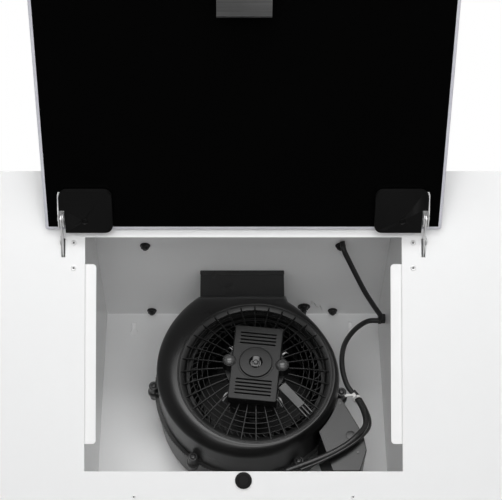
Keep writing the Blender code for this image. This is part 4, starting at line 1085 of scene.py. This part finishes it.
def build_inlet_bell():
    """Bell mouth behind the guard: scallops between its ribs catch the light at the top."""
    bm = bmesh.new()
    segments = 288
    stations = 10
    rows = []
    for j in range(stations + 1):
        share = j / stations
        row = []
        for i in range(segments):
            turn = 2 * pi * i / segments
            scallop = abs(sin(GRILLE_SPOKES * turn / 2))
            dip = 2.6 * scallop * sin(pi * min(1.0, share * 1.15))
            radius = 91.8 - 8.6 * sin(share * pi / 2) + dip
            y = FAN_FRONT_Y + 1.4 + 12.5 * (1 - cos(share * pi / 2))
            row.append(bm.verts.new((FAN.x + radius * cos(turn), y,
                                     FAN.z + radius * sin(turn))))
        rows.append(row)
    back = []
    for i in range(segments):
        turn = 2 * pi * i / segments
        back.append(bm.verts.new((FAN.x + 91.9 * cos(turn), FAN_FRONT_Y + 15.8,
                                  FAN.z + 91.9 * sin(turn))))
    rows.append(back)
    for a, b in zip(rows, rows[1:] + rows[:1]):
        for i in range(segments):
            k = (i + 1) % segments
            bm.faces.new((a[i], a[k], b[k], b[i]))
    bell = add_mesh("inlet_bell", bm, RIM_PLASTIC, 50)
    place(bell, "cabinet", "blower_plastic")


# ---------------------------------------------------------------- impeller
def build_impeller():
    """Forward-curved wheel: many thin curved blades between a rear disc and a front ring."""
    parts = []
    for i in range(BLADES):
        start = 360 * i / BLADES
        loops = []
        for step in range(6):
            share = step / 5
            radius = 71.8 + 11.6 * share
            lean = start + 9.5 * share ** 1.7
            thick = 0.55
            front = beside_fan(lean - degrees(thick / radius), radius, -117.0)
            other = beside_fan(lean + degrees(thick / radius), radius, -117.0)
            deep = BACK * 93.2
            loops.append([front, other, other + deep, front + deep])
        parts.append(loft("blade", loops, WHEEL, smooth_below=60))
    shroud = [(-118.0, 79.5), (-118.0, 83.6), (-117.2, 84.0), (-115.6, 84.0), (-115.6, 79.5)]
    parts.append(about_fan("shroud", shroud, WHEEL, 128))
    mid = [(-71.0, 71.4), (-71.0, 83.8), (-69.4, 83.8), (-69.4, 71.4)]
    parts.append(about_fan("mid_hoop", mid, WHEEL, 128))
    disc = [(-40.0, 4.3), (-40.0, 9.0), (-39.0, 12.0), (-26.0, 12.6), (-24.0, 16.0),
            (-24.6, 40.0), (-27.0, 60.0), (-27.0, 83.4), (-26.4, 84.0), (-22.0, 84.0),
            (-22.0, 4.3)]
    parts.append(about_fan("back_disc", disc, WHEEL, 128))
    place(join("impeller_wheel", parts), "wheel", "black_plastic", "impeller")


# ---------------------------------------------------------------- motor and its cover
def cover_outline(half_width, half_height, radius, y, steps=6):
    return [on_cover(a, b, y) for a, b in rounded_outline(half_width, half_height, radius,
                                                          steps)]


def build_motor():
    """Lamination stack with windings, end bells and corner bolts, whose pale steel is a painted
    glint at each corner.
    """
    stack = []
    for i in range(MOTOR_PLATES):
        outline = cover_outline(MOTOR_HALF, MOTOR_HALF, 4,
                                MOTOR_FRONT_Y + MOTOR_DEPTH * i / MOTOR_PLATES, 3)
        depth = MOTOR_DEPTH / MOTOR_PLATES * 0.86
        stack.append(prism("lamination", outline, BACK * depth, MOTOR_STEEL))
    core_half = MOTOR_HALF - 0.6
    core = cover_outline(core_half, core_half, 4, MOTOR_FRONT_Y + 0.2, 3)
    stack.append(prism("core", core, BACK * (MOTOR_DEPTH - 0.6), MOTOR_STEEL))
    bell = [(-132.0, 4.4), (-132.0, 9.0), (-130.5, 10.5), (-128.0, 19.0), (-126.5, 23.5),
            (-124.0, 25.0), (-66.0, 25.0), (-63.5, 23.5), (-60.0, 12.0), (-58.0, 9.0),
            (-58.0, 4.4)]
    stack.append(about_fan("end_bells", bell, MOTOR_STEEL, 64))
    windings = [(-126.0, 19.0), (-127.5, 21.0), (-127.0, 25.5), (-124.0, 28.0), (-117.0, 28.4),
                (-117.0, 19.0)]
    stack.append(about_fan("windings", windings, CAPACITOR, 64))
    for sx in (-1, 1):
        for sz in (-1, 1):
            at = on_cover(sx * 25.5, sz * 25.5, -125.5)
            tab = [(-2.5, 1.4), (-2.5, 3.2), (-1.4, 3.9), (1.5, 4.1), (1.5, 1.4)]
            # Pale steel on the corner bolts: painted glint at the motor's corners.
            stack.append(turned("corner_bolt", at, BACK, tab, ARM_STEEL, 24,
                                closed=True))
            stack.append(rod("corner_rod", at, BACK, 10.0, 1.6, ARM_STEEL, 16))
    place(join("motor_core", stack), "cabinet", "motor_steel", "motor_body")


def build_motor_glint_straps():
    """Bent strap at each corner of the motor, in pale steel that is a painted glint where it shows
    between the spokes.
    """
    for label, across, up in (("upper_left", -1, 1), ("upper_right", 1, 1),
                              ("lower_left", -1, -1), ("lower_right", 1, -1)):
        start = on_cover(across * 27.0, up * 27.0, -129.0)
        outward = (on_cover(across, up, 0) - on_cover(0, 0, 0)).normalized()
        side = Vector((-outward.z, 0, outward.x))
        loops = []
        for reach, depth, half in ((-3.0, 4.0, 1.5), (1.0, 0.5, 1.7), (4.0, -2.0, 2.0),
                                   (7.0, -2.4, 2.0), (10.0, 0.5, 1.7), (13.0, 7.0, 1.2)):
            centre = start + outward * reach + BACK * depth
            thick = BACK * 1.0
            loops.append([centre - side * half, centre + side * half,
                          centre + side * half + thick, centre - side * half + thick])
        # The pale steel stands in for the glints at the motor's corners: painted glint.
        strap = loft("motor_glint_strap_" + label, loops, ARM_STEEL, smooth_below=50)
        place(strap, "cabinet", "zinc_steel")


def build_motor_cover():
    """Slotted cap: domed edges, louvre slots, two screw ears and the raised shaft disc."""
    rear = guard_front(0) - GAP
    half = COVER_HALF
    loops = [cover_outline(half.x, half.y, 3.0, rear)]
    for step in range(6):
        turn = pi / 2 * step / 5
        inset = 1.6 * (1 - cos(turn))
        loops.append(cover_outline(half.x - inset, half.y - inset, max(3.0 - inset, 1.0),
                                   COVER_FRONT_Y + 1.6 * (1 - sin(turn))))
    cover = loft("cover_cap", loops, GRILLE)
    ear_front = COVER_FRONT_Y - 1
    ears = []
    for sign in (-1, 1):
        at = on_cover(sign * COVER_SCREW_X, 0, ear_front)
        profile = [(0.0, 7.0), (0.0, 7.4), (0.4, 8.0), (1.2, 8.2), (rear - ear_front, 8.2),
                   (rear - ear_front, 3.0), (1.4, 3.0), (1.4, 7.0)]
        ears.append(turned("cover_ear", at, BACK, profile, GRILLE, 64, closed=True))
    slots = []
    slot_half, pitch = 21.5, 4.6
    for first, count in ((half.y - 9, 4), (-half.y + 27, 5)):
        for i in range(count):
            up = first - pitch * i - 1.0
            outline = [on_cover(a, up + b, COVER_FRONT_Y - 5) for a, b in
                       rounded_outline(slot_half, 1.0, 0.95, 4)]
            slots.append(prism("louvre", outline, BACK * 30))
    recess = rod("cut_recess", on_cover(0, 0, COVER_FRONT_Y - 8), BACK, 30, 7.0)
    cut(cover, recess, *slots)
    refinish(cover, GRILLE, 30)
    disc_front = COVER_FRONT_Y - 2.5
    disc = [(0.0, 8.2), (0.0, 18.2), (0.35, 19.1), (1.0, 19.5), (3.2, 19.5), (3.2, 7.1),
            (1.2, 7.1)]
    raised = turned("cover_disc", on_cover(0, 0, disc_front), BACK, disc, GRILLE, 96,
                    closed=True)
    ring_groove = turned("cover_ring", on_cover(0, 0, COVER_FRONT_Y - 0.35), BACK,
                         [(0.0, 20.6), (0.0, 21.6), (0.6, 21.9), (0.6, 20.3)], GRILLE, 96,
                         closed=True)
    place(join("motor_cap", [cover, *ears, raised, ring_groove]), "cabinet",
          "blower_plastic", "motor_cover")
    for side, sign in SIDES:
        seat = on_cover(sign * COVER_SCREW_X, 0, ear_front)
        dome = [(1.3, 0.3), (1.3, 6.8)]
        for step in range(9):
            turn = pi / 2 * step / 8
            dome.append((0.4 - 3.8 * sin(turn), 0.3 + 6.3 * cos(turn)))
        cap = turned("cap", seat, BACK, dome, CAP_PLASTIC, 64)
        shank = rod("shank", seat + BACK * 1.2, BACK, 18, 1.6, ZINC, 16)
        place(join("cover_cap_screw_" + side, [cap, shank]), "cabinet", "blower_plastic",
              "cover_screw_" + side)


def build_shaft_end():
    """Bearing saddle in the cover's recess and the shaft's turned tip in its middle."""
    centre = on_cover(0, 0, 0)
    seat = COVER_FRONT_Y
    saddle = prism("saddle", [on_cover(a, b + 3.5, seat - 2.0) for a, b in
                              rounded_outline(4.2, 9.6, 1.6, 4)], BACK * 2.8,
                   DARK_STEEL)
    soften(saddle, 0.6, 3)
    bearing = turned("bearing", centre + BACK * seat, BACK,
                     [(1.4, 4.6), (1.4, 6.2), (2.0, 6.7), (6.6, 6.7), (6.6, 4.6)], DARK_STEEL,
                     48, closed=True)
    cut(saddle, rod("cut_shaft_hole", centre + BACK * (seat - 6), BACK, 12, 3.4))
    repaint(saddle, DARK_STEEL)
    place(join("shaft_bearing", [saddle, bearing]), "cabinet", "motor_steel")
    tip = turned("tip", centre + BACK * seat, BACK,
                 [(-2.3, 0.4), (-2.3, 2.0), (-1.6, 2.9), (4.0, 2.9)], DARK_STEEL, 32)
    place(tip, "wheel", "zinc_steel")


def build_cable_channel():
    """Flat lead cover from the motor cap to the rim: a lid, then three ribs."""
    front, rear = GRILLE_LOW.y - 4.5, GRILLE_LOW.y - GAP
    start, end = beside_fan(-36, 38, front - 4), beside_fan(-43, 86, front)
    along = (end - start).normalized()
    across = Vector((along.z, 0, -along.x))
    length = (end - start).length
    parts = []
    lid = [start - across * 5.5, start + along * (length * 0.72) - across * 5.5,
           start + along * (length * 0.72) + across * 5.5, start + across * 5.5]
    parts.append(soften(prism("lead_lid", lid, BACK * (rear - front), LEAD_PLASTIC),
                        0.6, 3))
    for offset in (-5.4, -0.9, 3.6):
        low = start + along * (length * 0.7) + across * offset + BACK * 0.6
        rib = [low, low + along * (length * 0.3), low + along * (length * 0.3) + across * 1.8,
               low + across * 1.8]
        parts.append(soften(prism("lead_rib", rib, BACK * (rear - front - 0.6),
                                  LEAD_PLASTIC), 0.35, 2))
    place(join("lead_channel", parts), "cabinet", "black_plastic", "cable_channel")


# ---------------------------------------------------------------- wiring and terminal box
TERMINAL_FRONT_Y = -118.0
TERMINAL_REAR_Y = -48.0
TERMINAL_OUTLINE = ((88, -222), (109, -182), (118, -184), (142, -231), (145, -251),
                    (136, -277), (104, -277))


def terminal_points(y, inset=0.0):
    """Outline of the terminal box, given as X and depth below the top, drawn in by inset."""
    centre_x = sum(x for x, _ in TERMINAL_OUTLINE) / len(TERMINAL_OUTLINE)
    centre_z = sum(z for _, z in TERMINAL_OUTLINE) / len(TERMINAL_OUTLINE)
    points = []
    for x, z in TERMINAL_OUTLINE:
        offset = Vector((x - centre_x, z - centre_z))
        offset *= 1 - inset / offset.length * 1.2
        points.append(Vector((centre_x + offset.x, y, Z_TOP + centre_z + offset.y)))
    return points


def scroll_clearance(extra):
    return rod("cut_scroll_clearance", (FAN.x, -160, FAN.z), BACK, 140,
               SCROLL_MIN_R + SCROLL_SHIFT + extra, segments=160)


def small_screw(name, at, radius, material):
    """Countersunk cross-head screw set in a face that looks towards -Y."""
    profile = [(-1.5, radius * 0.5), (-0.3, radius), (0.35, radius), (0.6, radius * 0.8),
               (0.6, radius * 0.34), (0.2, radius * 0.2), (0.2, radius * 0.05)]
    return turned(name, at, -BACK, profile, material, 24)


def build_terminal_box():
    """Open-backed wiring box on the scroll's side, its lid, struts and capacitor."""
    front = TERMINAL_FRONT_Y + 2.8
    rear = TERMINAL_REAR_Y
    tray = prism("tray", terminal_points(front), BACK * (rear - front), PLASTIC)
    cut(tray, scroll_clearance(FLANGE_WIDTH + 1.0),
        prism("cut_hollow", terminal_points(front - 5, 5.0), BACK * (rear - front + 3)))
    repaint(tray, BLOWER)
    soften(tray, 0.5, 2)
    ribs = []
    for x, z, lean in ((104, -232, 0.55), (112, -238, 0.35)):
        foot = Vector((x, front + 6, Z_TOP + z))
        run = Vector((lean, 0, -1)).normalized() * 34
        side = Vector((1.0, 0, lean)) * 0.9
        outline = [foot - side, foot + run - side, foot + run + side, foot + side]
        ribs.append(soften(prism("strut", outline, BACK * 22, BLOWER), 0.4, 2))
    place(join("wiring_tray", [tray, *ribs]), "cabinet", "black_plastic", "terminal_box")

    lid = prism("lid", terminal_points(TERMINAL_FRONT_Y), BACK * 2.5, BLOWER)
    cut(lid, scroll_clearance(0.8))
    repaint(lid, BLOWER)
    soften(lid, 0.8, 3)
    face = TERMINAL_FRONT_Y
    dent = turned("lid_pad", (127, face + 0.2, Z_TOP - 232), -BACK,
                  [(-0.5, 6.0), (0.5, 5.6), (0.8, 5.0), (0.8, 0.4)], BLOWER, 32)
    screws = [small_screw("lid_screw", Vector((x, face, Z_TOP + z)), 1.7, DARK_STEEL)
              for x, z in ((115.5, -190.5), (134.5, -254.0))]
    place(join("wiring_lid", [lid, dent, *screws]), "cabinet", "black_plastic",
          "terminal_box_lid")

    low, high, middle = node_span("run_capacitor")
    radius = (high.x - low.x) / 2
    can = [(0.0, radius - 2.2), (0.4, radius - 0.8), (1.4, radius), (3.0, radius),
           (3.5, radius - 0.5), (4.1, radius - 0.5), (4.6, radius), (47.0, radius),
           (48.6, radius - 0.8), (49.4, radius - 2.4), (49.4, 2.0)]
    body = turned("can", (middle.x, low.y, middle.z), BACK, can, CAPACITOR, 48)
    tags = [soften(box("tag", (middle.x + s - 2.4, middle.x + s + 2.4), (low.y - 0.2, low.y + 2),
                       (middle.z - 0.5, middle.z + 0.5), ZINC), 0.15, 1) for s in (-4.0, 4.0)]
    place(join("start_capacitor", [body, *tags]), "cabinet", "white_nylon", "run_capacitor")


MAINS_KNOTS = ((122, -184.5, -3.4), (124, -180, -13), (131, -167, -21), (150.5, -130, -39),
               (164.5, -107.5, -49.5), (174, -92, -54.5))
BLOWER_KNOTS = ((174, -80, -56), (158, -80, -57.5), (140, -83, -73), (127, -87, -96),
                (123, -90, -124), (127.5, -92, -152), (139, -96, -174), (145, -108, -197),
                (145, -120, -219), (135, -126.5, -235), (118, -128, -250), (92, -128, -264),
                (50, -128, -281))
TIE_KNOT = 6


def below_top(knots):
    return [Vector((x, y, Z_TOP + z)) for x, y, z in knots]


def build_leads():
    """Mains and blower cables, and a thinner earth lead that joins them at the tie."""
    mains = smooth_path(below_top(MAINS_KNOTS), STEPS_PER_KNOT)
    place(tube("mains_lead", mains, CABLE_R, SHEATH, 28), "cabinet", "cable_black",
          "mains_cable")
    run = smooth_path(below_top(BLOWER_KNOTS), STEPS_PER_KNOT)
    place(tube("blower_lead", run, CABLE_R, SHEATH, 28), "cabinet", "cable_black",
          "blower_cable")
    beside = []
    start = TIE_KNOT * STEPS_PER_KNOT
    for i in range(start - 6, len(run) - 4):
        share = min(1.0, (i - start + 6) / 20)
        tangent = (run[i + 1] - run[i - 1]).normalized()
        across = tangent.cross(-BACK).normalized()
        drift = BACK * -0.8 + across * (-4.6 - 0.8 * sin(i * 0.14))
        beside.append(run[i] + drift * share + across * (-3.4) * (1 - share))
    place(tube("earth_lead", beside, 1.7, SHEATH, 20), "cabinet", "cable_black")


def build_cable_tie():
    """Nylon band round the leads, with its square head and the curled free end."""
    knots = below_top(BLOWER_KNOTS)
    middle = knots[TIE_KNOT]
    along = (knots[TIE_KNOT + 1] - knots[TIE_KNOT - 1]).normalized()
    band = turned("band", middle - along * 1.7, along,
                  [(0.0, 4.4), (0.0, 5.1), (0.4, 5.4), (3.0, 5.4), (3.4, 5.1), (3.4, 4.4)],
                  NYLON, 48, closed=True)
    facing = Vector((-0.55, -0.8, 0.2)).normalized()
    seat = middle + facing * 5.6
    cross = facing.cross(along).normalized()
    outline = [seat + along * a + cross * b for a, b in rounded_outline(2.9, 2.5, 0.6, 3)]
    head = soften(prism("head", outline, facing * 3.4, NYLON), 0.4, 2)
    tail_knots = [seat + facing * 1.6, seat + facing * 5.0 - cross * 1.5,
                  seat + facing * 7.5 - cross * 5.0 - along * 1.0,
                  seat + facing * 7.0 - cross * 9.0 - along * 3.0]
    tail = []
    for point in smooth_path(tail_knots, 5):
        tail.append([point + along * a + facing * b for a, b in
                     ((-1.7, -0.4), (1.7, -0.4), (1.7, 0.4), (-1.7, 0.4))])
    strap = loft("tail", tail, NYLON, smooth_below=50)
    place(join("cable_tie_band", [band, head, strap]), "cabinet", "white_nylon", "cable_tie")


def build_cable_clamp():
    """Block on the chamber wall with a ribbed grip that holds both cables."""
    low, high, middle = node_span("cable_clamp")
    saddle = soften(box("saddle", (low.x, high.x), (low.y, high.y), (low.z, high.z), PLASTIC),
                    0.7, 2)
    grip = turned("grip", (low.x - 1.0, middle.y, middle.z), (1, 0, 0),
                  [(0.0, 4.6), (0.0, 5.6), (0.8, 6.2), (2.4, 6.2), (2.9, 5.6), (2.9, 4.6)],
                  PLASTIC, 32, closed=True)
    teeth = [soften(box("tooth", (low.x - 3.6, low.x + 0.4), (middle.y - 5 + 3.2 * i,
                        middle.y - 3.6 + 3.2 * i), (middle.z - 4.6, middle.z + 4.6), PLASTIC),
                    0.3, 1) for i in range(4)]
    place(join("cable_clamp_block", [saddle, grip, *teeth]), "cabinet", "black_plastic",
          "cable_clamp")


# ---------------------------------------------------------------- underside
BUTTONS = ("speed_button_low", "speed_button_mid", "speed_button_high", "light_button")
BUTTON_BODIES = {"speed_button_low": "button_low", "speed_button_mid": "button_mid",
                 "speed_button_high": "button_high", "light_button": "button_light"}


def build_controls():
    """Button strip: a bezel with a raised rim, and four dished push buttons."""
    low, high, centre = node_span("control_bezel")
    half_x, half_y = (high.x - low.x) / 2, (high.y - low.y) / 2
    outline = [Vector((centre.x + a, centre.y + b, high.z)) for a, b in
               rounded_outline(half_x, half_y, 5, 6)]
    plate = prism("plate", outline, UP * (low.z - high.z), PLASTIC)
    holes = []
    for name in BUTTONS:
        button_low, button_high, middle = node_span(name)
        radius = (button_high.x - button_low.x) / 2
        holes.append(rod("hole", (middle.x, middle.y, low.z - 5), UP, 15, radius + 0.4))
        depth = button_high.z - button_low.z
        profile = [(1.0, 0.3), (0.9, radius * 0.35), (0.25, radius * 0.66),
                   (0.0, radius * 0.84), (0.25, radius * 0.95), (0.9, radius),
                   (depth, radius)]
        cap = turned("cap_" + name, (middle.x, middle.y, button_low.z), UP, profile,
                     CAP_PLASTIC, 64)
        place(cap, BUTTON_BODIES[name], "black_plastic", name)
    cut(plate, *holes)
    repaint(plate, PLASTIC)
    soften(plate, 0.5, 3)
    place(join("control_strip", [plate]), "cabinet", "black_plastic", "control_bezel")


def build_lamps():
    """Recessed lamp: satin trim ring, stepped seat and a lens with fine rings."""
    for side in ("left", "right"):
        low, high = node_box("lamp_" + side)
        centre = Vector(((low.x + high.x) / 2, (low.y + high.y) / 2, Z_BOTTOM))
        radius = (high.x - low.x) / 2
        ring = [(-0.3, radius), (-1.2, radius), (-1.8, radius - 0.6), (-2.0, radius - 1.6),
                (-2.0, radius - 3.6), (-1.2, radius - 4.4), (0.6, radius - 4.6),
                (12.0, radius - 4.0), (12.0, radius - 4.0 + 0.01), (-0.3, radius - 3.9)]
        trim = turned("trim", centre, UP, ring, LENS_RING, 96, closed=True)
        lens = [(-0.2, 0.4)]
        reach = 3.0
        while reach < radius - 5.5:
            lens += [(-0.2, reach), (-0.65, reach + 0.7), (-0.2, reach + 1.4)]
            reach += 2.8
        lens += [(0.4, radius - 4.4), (2.0, radius - 4.4), (2.0, 0.4)]
        glass = turned("lens", centre, UP, lens, LENS, 96)
        place(join("spot_" + side, [trim, glass]), "cabinet", "lamp_lens", "lamp_" + side)


# ---------------------------------------------------------------- stage, light and camera
CAMERA_AT = (-0.009, -1.602, -0.8887)
CAMERA_RISE = radians(32.11)
CAMERA_LENS = 98.14
CAMERA_SHIFT = 0.0309
FLOOR_Z = -1.25
FLOOR_HALF = 6.0
AMBIENT = 0.04
GLOSS_BELOW = 0.03
GLOSS_ABOVE = 0.4
GLOSS_HEIGHTS = (-0.35, 0.25)
FACE_AIM = (0, -0.25, -0.15)
CHAMBER_AIM = (0, -0.15, -0.15)
SOFTBOXES = (("key_under_door", (0, -2.9, 0.72), FACE_AIM, (2.4, 0.8), 28.5),
             ("fill_front", (0, -3.0, 0.1), FACE_AIM, (2.4, 1.0), 13.0),
             ("fill_low_front", (0, -2.6, -1.0), CHAMBER_AIM, (2.4, 0.9), 29.0),
             ("fill_low_near", (0, -1.3, -1.15), CHAMBER_AIM, (2.4, 0.9), 5.0),
             ("back_fill", (0.8, 2.2, 1.2), (0, 0, -0.1), (2.0, 1.4), 30.0))


def build_stage():
    half = FLOOR_HALF / MM
    corners = [(x, y, FLOOR_Z / MM) for x, y in
               ((-half, -half), (half, -half), (half, half), (-half, half))]
    material = surface("studio_floor", grey(0.70), grey(0.74), (0.6, 0.75), patch=0.8,
                       grain=60.0, bump=0.1)
    floor = sheet("studio_floor", corners, material)
    floor.visible_glossy = False


def build_wall_patch():
    """Pale bit of wall behind the hanging keyholes, see-through from behind."""
    material, nodes, links = new_material("wall_plaster")
    shader = nodes["Principled BSDF"]
    grain = noise_node(nodes, links, 120.0, 5.0)
    links.new(tint_between(nodes, links, grain.outputs["Fac"], grey(0.78), grey(0.84)),
              shader.inputs["Base Color"])
    shader.inputs["Roughness"].default_value = 0.8
    facing = nodes.new("ShaderNodeNewGeometry")
    clear = nodes.new("ShaderNodeBsdfTransparent")
    mixed = nodes.new("ShaderNodeMixShader")
    links.new(facing.outputs["Backfacing"], mixed.inputs[0])
    links.new(clear.outputs["BSDF"], mixed.inputs[1])
    links.new(shader.outputs["BSDF"], mixed.inputs[2])
    links.new(mixed.outputs["Shader"], nodes["Material Output"].inputs["Surface"])
    corners = [(x, 4.0, z) for x, z in ((-180, -70), (180, -70), (180, 10), (-180, 10))]
    patch = sheet("wall_patch", corners, material)
    patch.visible_shadow = False
    patch.visible_diffuse = False


def build_world():
    """White backdrop for the eye, soft grey surround for the light, dark below for gloss."""
    world = bpy.data.worlds.new("studio")
    bpy.context.scene.world = world
    world.use_nodes = True
    nodes, links = world.node_tree.nodes, world.node_tree.links
    nodes.clear()
    path = nodes.new("ShaderNodeLightPath")
    coordinates = nodes.new("ShaderNodeTexCoord")
    split = nodes.new("ShaderNodeSeparateXYZ")
    links.new(coordinates.outputs["Generated"], split.inputs["Vector"])
    rise = ramp_between(nodes, links, split.outputs["Z"], GLOSS_BELOW, GLOSS_ABOVE,
                        GLOSS_HEIGHTS)
    ambient = nodes.new("ShaderNodeMix")
    links.new(path.outputs["Is Glossy Ray"], ambient.inputs["Factor"])
    ambient.inputs["A"].default_value = AMBIENT
    links.new(rise, ambient.inputs["B"])
    seen = nodes.new("ShaderNodeMix")
    links.new(path.outputs["Is Camera Ray"], seen.inputs["Factor"])
    links.new(ambient.outputs["Result"], seen.inputs["A"])
    seen.inputs["B"].default_value = 1.0
    background = nodes.new("ShaderNodeBackground")
    background.inputs["Color"].default_value = (1.0, 1.0, 1.0, 1.0)
    links.new(seen.outputs["Result"], background.inputs["Strength"])
    output = nodes.new("ShaderNodeOutputWorld")
    links.new(background.outputs["Background"], output.inputs["Surface"])


def softbox(name, at, target, size, watts):
    light = bpy.data.lights.new(name, "AREA")
    light.shape = "RECTANGLE"
    light.size, light.size_y = size
    light.energy = watts
    lamp = bpy.data.objects.new(name, light)
    bpy.context.scene.collection.objects.link(lamp)
    lamp.location = at
    lamp.rotation_euler = (Vector(target) - Vector(at)).to_track_quat("-Z", "Y").to_euler()
    lamp.visible_camera = False


def build_lights():
    for name, at, target, size, watts in SOFTBOXES:
        softbox(name, at, target, size, watts)


def build_camera():
    data = bpy.data.cameras.new("camera")
    data.lens = CAMERA_LENS
    data.sensor_width = 36.0
    data.shift_x = CAMERA_SHIFT
    data.clip_start = 0.05
    camera = bpy.data.objects.new("camera", data)
    bpy.context.scene.collection.objects.link(camera)
    camera.location = CAMERA_AT
    camera.rotation_euler = (pi / 2 + CAMERA_RISE, 0, 0)
    bpy.context.scene.camera = camera


# ---------------------------------------------------------------- the whole scene
finish_kept_nodes()
for side, sign in SIDES:
    build_chamber_wall(side, sign)
    build_hinge_pad(side, sign)
    build_hinge_hook(side, sign)
    build_flap(side, sign)
build_rivets()
build_magnet()
build_door()
build_strike_bracket()
build_collar()
build_collar_screws()
build_roof_fixings()

build_scroll()
build_lug_screws()
build_grille()
build_inlet_bell()
build_impeller()
build_motor()
build_motor_glint_straps()
build_motor_cover()
build_shaft_end()
build_cable_channel()
build_terminal_box()
build_leads()
build_cable_tie()
build_cable_clamp()
build_controls()
build_lamps()

build_stage()
build_wall_patch()
build_world()
build_lights()
build_camera()
bpy.context.scene.view_settings.view_transform = "Standard"
